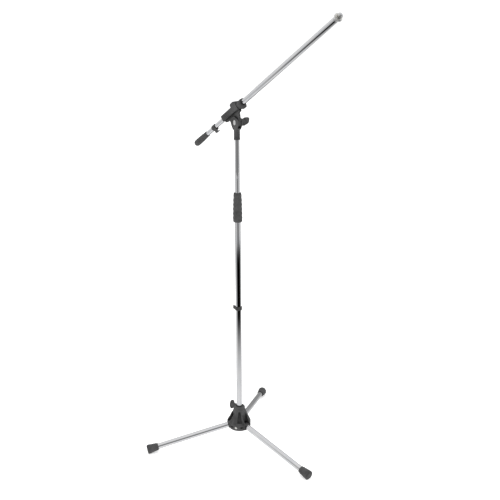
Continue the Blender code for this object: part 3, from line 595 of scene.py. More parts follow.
def make_materials():
    boom = joint_axis("boom_slide")
    recipes = [
        (moulded_plastic, "moulded_black", (0.044, 0.044, 0.0445), 0.5, 2600.0),
        (moulded_plastic, "knob_black", (0.038, 0.038, 0.0385), 0.46, 2200.0),
        (moulded_plastic, "clip_black", (0.04, 0.04, 0.04), 0.52, 2400.0),
        (soft_rubber, "grip_rubber", (0.05, 0.05, 0.0505), 0.72, 1500.0, 0.05),
        (soft_rubber, "foot_rubber", (0.05, 0.05, 0.051), 0.78, 1300.0, 0.22),
        (chrome, "chrome_pole", UP),
        (chrome, "chrome_boom", boom),
        (chrome, "chrome_tip", boom, (0.8, 0.8, 0.81)),
        (plated_steel, "zinc_steel", (0.8, 0.81, 0.83), 0.24, 1600.0),
        (plated_steel, "black_steel", (0.07, 0.07, 0.07), 0.45, 1500.0),
        (natural_nylon, "nylon"),
        (plated_steel, "brass", (0.72, 0.53, 0.24), 0.32, 1400.0),
    ]
    recipes += [(chrome, f"chrome_leg_{number}", leg_direction(number)) for number in LEGS]
    return {name: make(name, *settings) for make, name, *settings in recipes}


# ---- tubes


def tube_piece(name, node, radius, wall, start, end, place, along, surfaces, look, body):
    """Drawn tube with slightly rolled ends."""
    outline = soften(box(radius - wall, radius, start, end), 0.45 * wall, 3)
    piece = turned(name, outline, place, along)
    dress(piece, surfaces, "chrome_tube", body, node, look=look)


def node_span(node, origin, direction):
    """Where a CAD node starts and ends along a line."""
    reach = [(vertex.co - origin).dot(direction) for vertex in frame["nodes"][node].data.vertices]
    return min(reach), max(reach)


def build_tubes(surfaces):
    poles = (
        ("lower_pole", "lower_tube", LOWER_TUBE_R, HEAVY_WALL, "base"),
        ("upper_pole_tube", "upper_tube", UPPER_TUBE_R, THIN_WALL, "upper_pole"),
    )
    for name, node, radius, wall, body in poles:
        start, end = node_span(node, POLE, UP)
        tube_piece(name, node, radius, wall, start, end, STAND, "Z", surfaces, "chrome_pole", body)
    direction = joint_axis("boom_slide")
    booms = (
        ("rear_boom", "boom_inner_tube", BOOM_REAR_R, "boom_inner"),
        ("front_boom", "boom_outer_tube", BOOM_FRONT_R, "boom_outer"),
    )
    for name, node, radius, body in booms:
        start, end = node_span(node, BOOM.translation, direction)
        wall = THIN_WALL
        tube_piece(name, node, radius, wall, start, end, BOOM, "X", surfaces, "chrome_boom", body)
    for number in LEGS:
        place = leg_matrix(number)
        node = f"leg_tube_{number}"
        start, end = node_span(node, place.translation, leg_direction(number))
        body = f"leg_{number}"
        look = f"chrome_{body}"
        name = f"{body}_tube"
        wall = HEAVY_WALL
        tube_piece(name, node, LEG_TUBE_R, wall, start, end, place, "X", surfaces, look, body)


# ---- tripod hub and legs


def skirt_radius(height):
    """Radius of the bell between the skirt and the neck, where it sweeps inward."""
    share = (height - HUB_SKIRT_TOP_Z) / (HUB_NECK_Z - HUB_SKIRT_TOP_Z)
    share = min(max(share, 0.0), 1.0)
    return HUB_NECK_R + (HUB_SKIRT_R - HUB_NECK_R) * (1 - share) ** 1.2


def hub_outline():
    """Bell with a groove under its neck and a thin raised lip round the tube."""
    outline = [(0.0, HUB_BOTTOM_Z), (HUB_SKIRT_R - 2 * MM, HUB_BOTTOM_Z)]
    outline += [(HUB_SKIRT_R, HUB_BOTTOM_Z + 2.5 * MM)]
    flare_steps = 16
    for step in range(flare_steps + 1):
        height = HUB_SKIRT_TOP_Z + (HUB_NECK_Z - HUB_SKIRT_TOP_Z) * step / flare_steps
        outline.append((skirt_radius(height), height))
    groove_z = HUB_NECK_Z + 1.2 * MM
    outline += [(HUB_NECK_R - 1.3 * MM, groove_z), (HUB_NECK_R - 1.3 * MM, groove_z + 1.2 * MM)]
    outline += [(HUB_NECK_R - 0.1 * MM, groove_z + 2 * MM), (19.6 * MM, HUB_TOP_Z - 4.5 * MM)]
    outline += [(16 * MM, HUB_TOP_Z - 0.8 * MM), (HUB_LIP_R, HUB_TOP_Z), (0.0, HUB_TOP_Z)]
    return outline


def housing_outline():
    """Side view of one leg housing: (distance from the pole, height)."""
    edge = HOUSING_R
    return [
        (10 * MM, HUB_BOTTOM_Z),
        (edge - 7 * MM, HUB_BOTTOM_Z),
        (edge - 1.5 * MM, HUB_BOTTOM_Z + 6 * MM),
        (edge, HUB_BOTTOM_Z + 10 * MM),
        (edge, 81 * MM),
        (edge - 3 * MM, 87 * MM),
        (34 * MM, 94 * MM),
        (25 * MM, 112 * MM),
        (10 * MM, 112 * MM),
    ]


def leg_line_z(radius):
    """Height of a leg's centre line at a distance from the pole axis."""
    return LEG_APEX_Z - radius * math.tan(math.radians(LEG_SLOPE))


def slot_outline():
    """Side view of the slot that a leg swings in: open outward and upward."""
    reach = 60 * MM
    shelf = HINGE_R - 8 * MM
    clearance = LEG_TUBE_R / math.cos(math.radians(LEG_SLOPE)) + 0.5 * MM
    shelf_z = leg_line_z(shelf) - clearance
    outline = [(SLOT_INNER_R, shelf_z), (shelf, shelf_z), (shelf, 40 * MM), (reach, 40 * MM)]
    return outline + [(reach, 165 * MM), (SLOT_INNER_R, 165 * MM)]


def panel_cutter(number, azimuth):
    """Tapering recess on a skirt panel, which follows the flare at an even depth."""
    rows = 12
    points = []
    faces = []
    for row in range(rows + 1):
        share = row / rows
        height = PANEL_LOW_Z + (PANEL_HIGH_Z - PANEL_LOW_Z) * share
        half = PANEL_LOW_HALF + (PANEL_HIGH_HALF - PANEL_LOW_HALF) * share
        near = skirt_radius(height) - PANEL_DEPTH
        points += [(near, -half, height), (60 * MM, -half, height)]
        points += [(60 * MM, half, height), (near, half, height)]
        if row:
            base = 4 * row
            for edge in range(4):
                after = (edge + 1) % 4
                faces.append((base - 4 + edge, base - 4 + after, base + after, base + edge))
    faces += [(0, 1, 2, 3), tuple(4 * rows + corner for corner in (3, 2, 1, 0))]
    return make_object(f"panel_cutter_{number}", points, faces, STAND @ turn_z(azimuth + PANEL_TURN))


def screw_matrix():
    """Frame of the hub's clamp screw: X runs outward along it."""
    along = joint_axis("hub_knob_turn")
    return axes_matrix(joint_point("hub_knob_turn"), along, UP.cross(along))


def build_hub(surfaces):
    hub = turned("hub_shell", hub_outline(), STAND)
    joined = []
    removed = []
    for number, azimuth in enumerate(LEG_AZIMUTHS, 1):
        side = STAND @ turn_z(azimuth)
        width = HOUSING_HALF_WIDTH
        joined.append(plate(f"housing_{number}", housing_outline(), -width, width, side))
        removed.append(plate(f"slot_{number}", slot_outline(), -SLOT_HALF_WIDTH, SLOT_HALF_WIDTH, side))
        pin = side @ Matrix.Translation((HINGE_R, 0.0, leg_line_z(HINGE_R)))
        removed.append(turned(f"pin_hole_{number}", rod(PIN_HOLE_R, -40 * MM, 40 * MM), pin, "Y", 32))
        removed.append(panel_cutter(number, azimuth))
    screw = screw_matrix()
    joined.append(turned("screw_boss", rod(SCREW_BOSS_R, 12 * MM, KNOB_START - 0.5 * MM), screw, "X", 48))
    rivet = rivet_matrix()
    holes = (
        ("tube_bore", rod(LOWER_TUBE_R + 0.4 * MM, 60.4 * MM, 160 * MM), STAND, "Z", 64),
        ("drain", rod(6 * MM, 40 * MM, 70 * MM), STAND, "Z", 32),
        ("screw_bore", rod(SCREW_HOLE_R, 5 * MM, 35 * MM), screw, "X", 24),
        ("rivet_seat", rod(5.3 * MM, HUB_SKIRT_R - 1.3 * MM, 50 * MM), rivet, "X", 32),
        ("rivet_bore", rod(2.4 * MM, 13 * MM, 50 * MM), rivet, "X", 24),
    )
    removed += [turned(*hole) for hole in holes]
    moulded(hub, joined, removed, 0.62 * MM, 5)
    dress(hub, surfaces, "moulded_black", "base", "base_hub")
    build_rivet(surfaces)


def rivet_matrix():
    return STAND @ Matrix.Translation((0.0, 0.0, RIVET_Z)) @ turn_z(RIVET_AZIMUTH)


def build_rivet(surfaces):
    """Domed plated head low on the hub's front."""
    seat = HUB_SKIRT_R - 0.9 * MM
    rim = seat + 0.5 * MM
    outline = [(0.0, 14 * MM), (RIVET_SHANK_R, 14 * MM), (RIVET_SHANK_R, seat)]
    outline += [(RIVET_HEAD_R, seat), (RIVET_HEAD_R, rim)]
    dome_r = RIVET_HEAD_R - 0.1 * MM
    for step in range(9):
        angle = math.radians(90 * step / 9)
        outline.append((dome_r * math.cos(angle), rim + 1.5 * MM * math.sin(angle)))
    outline.append((0.0, seat + 2.0 * MM))
    piece = turned("rivet_head", outline, rivet_matrix(), "X", 48)
    dress(piece, surfaces, "zinc_steel", "base", "retaining_rivet")


def build_hub_knob(surfaces):
    """Oval thumb knob that clamps the tube in the hub, dished on both faces."""
    screw = screw_matrix()
    boss_end = KNOB_START + 0.6 * KNOB_LENGTH
    boss = [(0.0, KNOB_START), (KNOB_ROOT_R, KNOB_START), (0.9 * KNOB_ROOT_R, boss_end), (0.0, boss_end)]
    knob = turned("hub_thumb_knob", boss, screw, "X", 64)
    centre = KNOB_START + 1 * MM + KNOB_LENGTH / 2
    side = screw @ turn_x(KNOB_TURN)
    grip = oval((centre, 0.0), KNOB_LENGTH / 2, KNOB_HALF_SPAN)
    joined = [plate("grip", grip, -KNOB_HALF_THICK, KNOB_HALF_THICK, side)]
    removed = []
    for face in (-1, 1):
        for end in (-1, 1):
            dish = oval((centre + 1 * MM, end * 0.56 * KNOB_HALF_SPAN), 5.6 * MM, 4.4 * MM)
            low, high = sorted((face * 1.5 * MM, face * 4 * MM))
            removed.append(plate(f"dish_{face + 1}_{end + 1}", dish, low, high, side))
    moulded(knob, joined, removed, 0.36 * MM, 4)
    dress(knob, surfaces, "knob_black", "hub_knob", "hub_clamp_knob")


def foot_outline(start):
    """Rubber boot: a thin cuff at the tube, a step, a swelling body and a rounded end."""
    end = start + FOOT_LENGTH
    bore = LEG_TUBE_R + 0.25 * MM
    floor = end - 8 * MM
    outline = [(0.0, floor), (bore, floor), (bore, start)]
    outline += from_base(start, (11.6, 0), (12.1, 0.8), (12.2, 4.2), (12.5, 5.2), (13.4, 6.5))
    outline += from_base(start, (13.9, 14), (15.0, 23), (15.9, 29))
    return outline + from_base(end, (16.4, -5), (16.2, -3), (14.6, -0.6), (12.0, 0), (0, 0))


def build_feet(surfaces):
    """Boots with two shallow grooves, cut flat where they stand on the floor."""
    start = (FOOT_START_R - HINGE_R) / math.cos(math.radians(LEG_SLOPE))
    square = box(-0.5, 0.5, -0.5, 0.5)
    for number in LEGS:
        foot = turned(f"foot_boot_{number}", soften(foot_outline(start), 0.8 * MM), leg_matrix(number), "X")
        ground = plate(f"ground_{number}", square, -0.1, 0.0, Matrix.Identity(4), "Z")
        grooves = []
        for share in (0.56, 0.7):
            along = start + share * FOOT_LENGTH
            groove = box(14.6 * MM + (share - 0.56) * 5 * MM, 20 * MM, along, along + 0.9 * MM)
            grooves.append(turned(f"groove_{number}", groove, leg_matrix(number), "X", 64))
        moulded(foot, [], [ground, *grooves], 0.5 * MM, 2)
        settle(foot)
        dress(foot, surfaces, "foot_rubber", f"leg_{number}", f"rubber_foot_{number}")


def settle(piece):
    """Moves what smoothing left below the floor back onto it."""
    for vertex in piece.data.vertices:
        vertex.co.z = max(vertex.co.z, 0.0)


# ---- pole fittings


def grip_wave(radius, height, angle):
    """Shallow finger waves on the grip's two sides, which fade out on its smooth panels."""
    if radius < 13.8 * MM:
        return radius
    side = abs(math.cos(angle))
    rise = height - GRIP_BOTTOM_Z
    inside = smooth_step(3 * MM, 7 * MM, rise) * smooth_step(3 * MM, 12 * MM, GRIP_TOP_Z - 6 * MM - height)
    wave = 0.5 + 0.5 * math.cos(2 * math.pi * (rise - 6 * MM) / GRIP_WAVE_PITCH)
    return radius - inside * GRIP_WAVE_DEPTH * wave * smooth_step(0.6, 0.86, side)


def build_grip(surfaces):
    """Rubber twist grip: a chamfered foot, waved sides, and a taper to a plain collar."""
    low = GRIP_BOTTOM_Z
    top = GRIP_TOP_Z
    bore = GRIP_BORE_R
    outline = [(bore, low)] + from_base(low, (13.6, 0), (14.4, 0.7), (15.6, 3.6))
    side_steps = 84
    side_top = top - 16 * MM
    for step in range(side_steps + 1):
        share = step / side_steps
        height = low + 5 * MM + (side_top - low - 5 * MM) * share
        outline.append((GRIP_R - 1.6 * MM * share**2, height))
    outline += from_base(top, (13.6, -9), (12.7, -2.2), (12.0, -0.6), (11.2, 0), (8.7, 0), (8.7, -2.5))
    outline.append((bore, top - 2.6 * MM))
    grip = turned("twist_grip", outline, STAND, "Z", 120, grip_wave)
    dress(grip, surfaces, "grip_rubber", "height_grip", "height_grip")


def wedge(centre, reach, half_angle):
    """Triangle that opens a ring towards +second."""
    across = reach * math.sin(math.radians(half_angle))
    up = reach * math.cos(math.radians(half_angle))
    return [centre, (centre[0] + across, up), (centre[0] - across, up)]


def cable_clip(name, node, tube_r, hook_inner, half, hook_side, place, along, body, surfaces):
    """Snap clip: a ring open on one side, a smaller open ring beside it and a web between them."""
    inner = tube_r + 0.25 * MM
    beside = hook_side * (inner + hook_inner + CLIP_WALL + 0.3 * MM)
    outer = inner + CLIP_WALL
    hook_outer = hook_inner + CLIP_WALL
    short = 0.9 * half
    clip = plate(name, oval((0.0, 0.0), outer, outer), -half, half, place, along)
    web = [(0.5 * beside, -0.72 * outer), (beside, -0.9 * hook_outer)]
    web += [(beside, 0.4 * hook_outer), (0.5 * beside, 0.5 * outer)]
    joined = [plate("hook", oval((beside, 0.0), hook_outer, hook_outer), -short, short, place, along)]
    joined.append(plate("web", web, -0.8 * half, 0.8 * half, place, along))
    holes = {
        "bore": oval((0.0, 0.0), inner, inner, 64),
        "hook_bore": oval((beside, 0.0), hook_inner, hook_inner),
        "mouth": wedge((0.0, 0.0), outer + 4 * MM, 46),
        "hook_mouth": wedge((beside, 0.0), hook_outer + 4 * MM, 30),
    }
    far = 2 * half
    removed = [plate(hole, shape, -far, far, place, along) for hole, shape in holes.items()]
    moulded(clip, joined, removed, 0.34 * MM, 7)
    dress(clip, surfaces, "clip_black", body, node)


def build_clips(surfaces):
    pole = STAND @ Matrix.Translation((0.0, 0.0, POLE_CLIP_Z)) @ turn_z(POLE_CLIP_TURN)
    hook, half = 3.3 * MM, 6.2 * MM
    cable_clip("pole_clip", "pole_cable_clip", LOWER_TUBE_R, hook, half, -1, pole, "Z", "base", surfaces)
    tail = BOOM @ Matrix.Translation((BOOM_CLIP_X, 0.0, 0.0)) @ turn_x(BOOM_CLIP_TURN)
    hook, half = 3.2 * MM, 7.5 * MM
    body = "boom_inner"
    cable_clip("tail_clip", "boom_cable_clip", BOOM_REAR_R, hook, half, 1, tail, "X", body, surfaces)


# ---- yoke and tilt joint


def oblong(half_width, half_height, steps=14):
    """Upright slot shape with round ends."""
    reach = half_height - half_width
    return arc((0.0, reach), half_width, 0, 180, steps) + arc((0.0, -reach), half_width, 180, 360, steps)


def sleeve_flutes(radius, height, angle):
    """Pairs of upright flutes on the yoke's sleeve, front and back."""
    if radius < 9 * MM:
        return radius
    cut = 0.0
    for middle in FLUTE_ANGLES:
        away = math.remainder(angle - math.radians(middle), 2 * math.pi)
        cut += FLUTE_DEPTH * math.exp(-((away / FLUTE_WIDTH) ** 2))
    return radius - cut


def build_yoke(surfaces):
    drop = YOKE_BOTTOM_Z - TILT_POINT.z
    shoulder = YOKE_SHOULDER_Z - TILT_POINT.z
    sleeve = [(0.0, drop), (YOKE_SLEEVE_R - 0.6 * MM, drop), (YOKE_SLEEVE_R, drop + 0.8 * MM)]
    sleeve += [(YOKE_SLEEVE_R, drop + 4 * MM), (YOKE_SLEEVE_R - 0.5 * MM, drop + 6 * MM)]
    sleeve += [(YOKE_SLEEVE_R - 0.5 * MM, shoulder + 3.4 * MM), (0.0, shoulder + 3.4 * MM)]
    yoke = turned("yoke_moulding", sleeve, YOKE, "Z", 144, sleeve_flutes)
    root = shoulder + 1 * MM
    fork = [(YOKE_SLEEVE_R * 0.78, root - 1 * MM), (YOKE_SLEEVE_R - 0.2 * MM, root + 2.7 * MM)]
    fork += arc((0.0, 0.0), CHEEK_R, -20, 68, 16)
    fork += arc((0.0, 0.0), CHEEK_BACK_R, 92, 164, 14)
    fork += [(-CHEEK_R, -3 * MM), (0.2 * MM - YOKE_SLEEVE_R, root + 2.7 * MM)]
    fork += [(-YOKE_SLEEVE_R * 0.78, root - 1 * MM)]
    joined = [plate("fork", fork, -CHEEK_OUTER, CHEEK_OUTER, YOKE)]
    reach = 31 * MM
    between = box(-reach, reach, FORK_GAP_FLOOR, reach)
    removed = [plate("fork_gap", between, -CHEEK_INNER, CHEEK_INNER, YOKE)]
    trim = CHEEK_OUTER + 10 * MM
    for side in (-1, 1):
        slope = [(side * YOKE_SLEEVE_R * 0.93, root - 1.7 * MM), (side * trim, root - 1.7 * MM)]
        slope += [(side * trim, -9.2 * MM), (side * (CHEEK_OUTER + 0.1 * MM), -9.2 * MM)]
        slope += [(side * YOKE_SLEEVE_R * 0.96, root + 2.3 * MM)]
        removed.append(plate(f"slope_{side + 1}", slope, -33 * MM, 33 * MM, YOKE, "X"))
    bore = rod(UPPER_TUBE_R + GAP, drop - 10 * MM, shoulder - 0.4 * MM)
    removed.append(turned("sleeve_bore", bore, YOKE, "Z", 64))
    removed.append(turned("bolt_hole", rod(TILT_BOLT_R + GAP, -34 * MM, 34 * MM), YOKE, "Y", 32))
    pocket = oblong(BOLT_HEAD_HALF_WIDTH + 0.4 * MM, BOLT_HEAD_HALF_HEIGHT + 0.4 * MM)
    removed.append(plate("bolt_pocket", pocket, -CHEEK_OUTER - 2 * MM, -CHEEK_OUTER + 2.2 * MM, YOKE))
    moulded(yoke, joined, removed, 0.42 * MM, 4)
    dress(yoke, surfaces, "moulded_black", "yoke", "boom_yoke")


def build_tilt_bolt(surfaces):
    """Plated bolt with an oblong head and a rolled edge round it."""
    back = -CHEEK_OUTER + 0.2 * MM
    seat = -CHEEK_OUTER + 2 * MM
    head = oblong(BOLT_HEAD_HALF_WIDTH, BOLT_HEAD_HALF_HEIGHT)
    bolt = plate("tilt_bolt_head", head, back, seat, YOKE)
    shank = turned("shank", rod(TILT_BOLT_R, seat - 1 * MM, TILT_BOLT_END, 0.6 * MM), YOKE, "Y", 48)
    moulded(bolt, [shank], [], 0.3 * MM, 3)
    dress(bolt, surfaces, "zinc_steel", "yoke", "tilt_bolt")


def build_tilt_knob(surfaces):
    """Thumb knob: a round boss that ends in one broad paddle."""
    seat = CHEEK_OUTER + 2.0 * MM
    side = YOKE @ turn_z(90)
    boss = [(0.0, seat), (TILT_KNOB_R, seat), (TILT_KNOB_R, seat + 4 * MM)]
    boss += from_base(seat, (8.5, 17), (7.0, 21.5), (0, 22.5))
    knob = turned("tilt_thumb_knob", boss, side, "X", 64)
    start = seat + 5 * MM
    end = start + PADDLE_LENGTH
    outline = [(start, -7 * MM), (start + 7 * MM, -14 * MM), (start + 17 * MM, -15 * MM)]
    outline += arc((end - 9 * MM, -2 * MM), 9 * MM, -50, 0, 8)
    outline += arc((end - 6 * MM, 5 * MM), 6 * MM, 0, 90, 8)
    outline += [(start + 18 * MM, 11.5 * MM), (start + 8 * MM, 8 * MM)]
    half = PADDLE_HALF_THICK
    paddle = plate("paddle", outline, -half, half, side @ turn_x(PADDLE_TURN))
    bore = rod(6.2 * MM, seat - 5 * MM, seat + 10.3 * MM)
    removed = [turned("insert_bore", bore, side, "X", 48)]
    removed.append(turned("bolt_bore", rod(TILT_BOLT_R + GAP, seat, TILT_BOLT_END + 0.5 * MM), side, "X", 32))
    moulded(knob, [paddle], removed, 0.45 * MM, 7)
    dress(knob, surfaces, "knob_black", "tilt_knob", "tilt_knob")


# ---- holder and boom


def build_holder(surfaces):
    """Box round the boom with chamfered edges, a hump in front and a lug between the cheeks."""
    low = BOOM_OFFSET - HOLDER_BELOW
    high = BOOM_OFFSET + HOLDER_ABOVE
    side = HOLDER_HALF_WIDTH
    chamfer = 3 * MM
    section = [(-side + chamfer, low), (side - chamfer, low), (side, low + chamfer)]
    section += [(side, high - chamfer), (side - chamfer, high)]
    section += [(-side + chamfer, high), (-side, high - chamfer), (-side, low + chamfer)]
    holder = plate("boom_holder_shell", section, HOLDER_BACK, HOLDER_FRONT, TILT, "X")
    lug = [(HOLDER_BACK + 1 * MM, low + 2 * MM), (HOLDER_BACK + 1 * MM, low - 3.5 * MM)]
    lug += [(HOLDER_BACK + 3 * MM, low - 5.5 * MM), (-24 * MM, low - 5.5 * MM), (-21 * MM, low - 7 * MM)]
    lug += arc((0.0, 0.0), LUG_R, 205, 320, 24)
    lug += [(27 * MM, low - 7 * MM), (36 * MM, low - 6 * MM), (36 * MM, low + 2 * MM)]
    hump = [(HUMP_BACK, low + 4 * MM), (HOLDER_FRONT - 0.5 * MM, low + 4 * MM)]
    corner = HUMP_CORNER_R
    hump += arc((HOLDER_FRONT - corner - 0.5 * MM, high + 2.5 * MM), corner, 10, 90, 8)
    hump += arc((HUMP_BACK + corner, high + 2.5 * MM), corner, 90, 170, 8)
    joined = [plate("lug", lug, -LUG_HALF, LUG_HALF, TILT)]
    joined.append(plate("hump", hump, -HUMP_HALF_WIDTH, HUMP_HALF_WIDTH, TILT))
    bore = rod(BOOM_REAR_R + GAP, HOLDER_BACK - 10 * MM, HOLDER_FRONT + 10 * MM)
    removed = [turned("boom_bore", bore, BOOM, "X", 64)]
    removed.append(turned("bolt_hole", rod(TILT_BOLT_R + GAP, -30 * MM, 30 * MM), TILT, "Y", 32))
    split = box(-60 * MM, 60 * MM, -20 * MM, BOOM_OFFSET)
    removed.append(plate("slit", split, -SLIT_HALF, SLIT_HALF, TILT))
    seam = box(HOLDER_BACK + 5 * MM, HOLDER_FRONT + 5 * MM, low - 1 * MM, low + 0.2 * MM)
    for face in (-1, 1):
        inner, outer = sorted((face * 9.5 * MM, face * 20 * MM))
        removed.append(plate(f"seam_{face + 1}", seam, inner, outer, TILT))
    moulded(holder, joined, removed, 0.45 * MM, 5)
    dress(holder, surfaces, "moulded_black", "holder", "boom_holder")


def build_clutch_nut(surfaces):
    """Lobed twist nut of the boom, with a plain rim and a groove at its rear."""
    start = HOLDER_FRONT + GAP
    end = start + CLUTCH_LENGTH
    inner = BOOM_REAR_R + 0.6 * MM
    outer = BOOM_FRONT_R + GAP
    outline = [(inner, start), (CLUTCH_R - 0.8 * MM, start), (CLUTCH_R, start + 0.8 * MM)]
    outline += [(CLUTCH_R, start + 2.6 * MM), (CLUTCH_R - 1 * MM, start + 3 * MM)]
    outline += [(CLUTCH_R - 1 * MM, start + 3.9 * MM), (CLUTCH_R, start + 4.3 * MM)]
    outline += [(CLUTCH_R, end - 9 * MM), (CLUTCH_R + 0.4 * MM, end - 2 * MM)]
    outline += [(CLUTCH_R, end - 0.6 * MM), (CLUTCH_R - 1.2 * MM, end)]
    outline += [(outer, end), (outer, end - 2 * MM), (COLLET_R + GAP, end - 6 * MM)]
    outline += [(COLLET_R + GAP, start + 3 * MM), (inner, start + 2 * MM)]
    first = math.radians(CLUTCH_LOBE_TURN)

    def lobes(radius, height, angle):
        """Three rounded finger lobes, which start beyond the groove."""
        if radius < 12 * MM:
            return radius
        swell = smooth_step(start + 3.2 * MM, start + 5.5 * MM, height)
        crest = (0.5 + 0.5 * math.cos(3 * (angle - first))) ** 2
        return radius + CLUTCH_LOBE * crest * swell

    nut = turned("boom_twist_nut", soften(outline, 0.5 * MM, 3), BOOM, "X", 144, lobes)
    dress(nut, surfaces, "knob_black", "boom_clutch", "boom_clutch_nut")


def build_tail_grip(surfaces):
    """Rubber tail grip: a thin rim at the tube, fullest past its middle, round at the end."""
    mouth = TAIL_GRIP_START
    end = mouth - TAIL_GRIP_LENGTH
    bore = BOOM_REAR_R + 0.25 * MM
    outline = [(bore, mouth)]
    outline += from_base(mouth, (8.7, 0), (9.4, -0.6), (9.4, -2.4), (8.9, -2.9), (8.9, -3.5))
    body_steps = 40
    for step in range(1, body_steps + 1):
        share = step / body_steps
        radius = 9.2 * MM + 1.6 * MM * math.sin(share * math.pi * 0.66)
        outline.append((radius, mouth - 4 * MM - (TAIL_GRIP_LENGTH - 15 * MM) * share))
    last_r, last_x = outline[-1]
    for step in range(1, 16):
        angle = math.radians(90 * step / 16)
        outline.append((last_r * math.cos(angle), last_x - (last_x - end) * math.sin(angle)))
    outline += [(0.0, end), (0.0, BOOM_REAR_END - GAP), (bore, BOOM_REAR_END - GAP)]
    grip = turned("tail_grip_rubber", outline, BOOM, "X")
    dress(grip, surfaces, "grip_rubber", "boom_inner", "tail_grip")


def build_tip(surfaces):
    """Plated neck, stud, threaded adaptor and knurled ring at the boom's front end."""
    end = BOOM_FRONT_END
    plug_r = BOOM_FRONT_R - THIN_WALL - GAP
    neck_end = end + THREAD_START - GAP
    tip = end + TIP_END
    stud = [(0.0, end - 20 * MM), (plug_r, end - 20 * MM), (plug_r, end + GAP)]
    stud += [(BOOM_FRONT_R, end + GAP), (BOOM_FRONT_R, end + 1.4 * MM), (7.2 * MM, end + 2.3 * MM)]
    stud += [(6.3 * MM, end + 3.4 * MM), (6.2 * MM, neck_end), (STUD_R, neck_end)]
    stud += [(STUD_R, tip - 1 * MM), (4.0 * MM, tip), (2.2 * MM, tip), (1.6 * MM, tip - 1 * MM)]
    piece = turned("tip_neck", soften(stud + [(0.0, tip - 1 * MM)], 0.3 * MM, 3), BOOM, "X", 64)
    dress(piece, surfaces, "chrome_tip", "boom_outer", "tip_stud")
    build_adaptor(surfaces, end + THREAD_START)
    build_lock_ring(surfaces, end + LOCK_RING_START)


def build_adaptor(surfaces, start):
    """Sleeve with a 27 turns per inch helical thread."""
    end = start + THREAD_LENGTH
    bore = STUD_R + GAP
    rings_per_turn = 8
    rings = int(THREAD_LENGTH / THREAD_PITCH * rings_per_turn)
    outline = [(bore, start), (THREAD_R - GAP, start)]
    for ring in range(rings + 1):
        outline.append((THREAD_R, start + 0.2 * MM + (THREAD_LENGTH - 0.4 * MM) * ring / rings))
    outline += [(THREAD_R - GAP, end), (bore, end)]

    def thread(radius, height, angle):
        if radius != THREAD_R:
            return radius
        phase = (height - start) / THREAD_PITCH - angle / (2 * math.pi)
        crest = abs(2 * (phase - math.floor(phase)) - 1)
        fade = smooth_step(0.0, 1.2 * MM, height - start)
        fade *= smooth_step(0.0, 1.2 * MM, end - height)
        return radius - 0.1 * MM + THREAD_HALF_DEPTH * (2 * crest - 1) * fade

    piece = turned("thread_sleeve", outline, BOOM, "X", 64, thread)
    dress(piece, surfaces, "zinc_steel", "boom_outer", "thread_adaptor")


def build_lock_ring(surfaces, start):
    """Ring with a straight knurl between two plain shoulders."""
    inner = 8.25 * MM
    end = start + LOCK_RING_LENGTH
    shoulder_r = LOCK_RING_R - 0.5 * MM
    outline = [(inner, start), (11 * MM, start), (shoulder_r, start + 0.6 * MM)]
    outline += [(LOCK_RING_R, start + 1.2 * MM), (LOCK_RING_R, end - 1.2 * MM)]
    outline += [(shoulder_r, end - 0.6 * MM), (11.2 * MM, end), (inner, end)]

    def knurl(radius, height, angle):
        if radius < LOCK_RING_R - 0.2 * MM:
            return radius
        return radius - KNURL_DEPTH * (0.5 - 0.5 * math.cos(KNURL_TEETH * angle))

    piece = turned("knurled_ring", soften(outline, 0.2 * MM, 2), BOOM, "X", 288, knurl)
    dress(piece, surfaces, "zinc_steel", "lock_ring", "lock_ring")


# ---- carried-over CAD nodes


def dress_carried_nodes(surfaces):
    """Small inner parts keep their CAD shape and get a proper material."""
    slots = {entry["node"]: entry["material_slot"] for entry in frame["record"]["subparts"]}
    for name, node in frame["nodes"].items():
        if node.hide_render:
            continue
        node.data.materials.clear()
        node.data.materials.append(surfaces[slots[name]])


# ---- studio and camera


def graded_light(name):
    """Emission whose strength is the mesh's own level at each point."""
    made = bpy.data.materials.new(name)
    made.use_nodes = True
    tree = made.node_tree
    tree.nodes.clear()
    level = tree.nodes.new("ShaderNodeAttribute")
    level.attribute_name = "level"
    light = tree.nodes.new("ShaderNodeEmission")
    tree.links.new(level.outputs["Fac"], light.inputs["Strength"])
    output = tree.nodes.new("ShaderNodeOutputMaterial")
    tree.links.new(light.outputs["Emission"], output.inputs["Surface"])
    return made


def reflector(name, rows, columns, place, level):
    """A graded card that only shows in reflections, as flags and screens do round a product shot.

    place and level take (row share, azimuth from the front in degrees).
    """
    points = []
    levels = []
    faces = []
    for row in range(rows + 1):
        for column in range(columns + 1):
            azimuth = -180 + 360 * column / columns
            points.append(place(row / rows, azimuth))
            levels.append(level(row / rows, azimuth))
            if row and column:
                corner = row * (columns + 1) + column
                faces.append((corner, corner - 1, corner - columns - 2, corner - columns - 1))
    mesh = bpy.data.meshes.new(name)
    mesh.from_pydata(points, [], faces)
    values = mesh.attributes.new("level", "FLOAT", "POINT")
    values.data.foreach_set("value", levels)
    mesh.materials.append(graded_light(name))
    card = new_object(name, mesh)
    for rays in ("camera", "diffuse", "shadow", "transmission", "volume_scatter"):
        setattr(card, f"visible_{rays}", False)


def from_front(azimuth, distance, height):
    """A point at a distance from the pole, with its azimuth counted from the camera's side."""
    angle = math.radians(azimuth - 90)
    return (POLE.x + distance * math.cos(angle), POLE.y + distance * math.sin(angle), height)


def window(azimuth, low, low_full, high_full, high):
    """1 between the two full azimuths, with a soft edge on each side."""
    return smooth_step(low, low_full, azimuth) * (1 - smooth_step(high_full, high, azimuth))


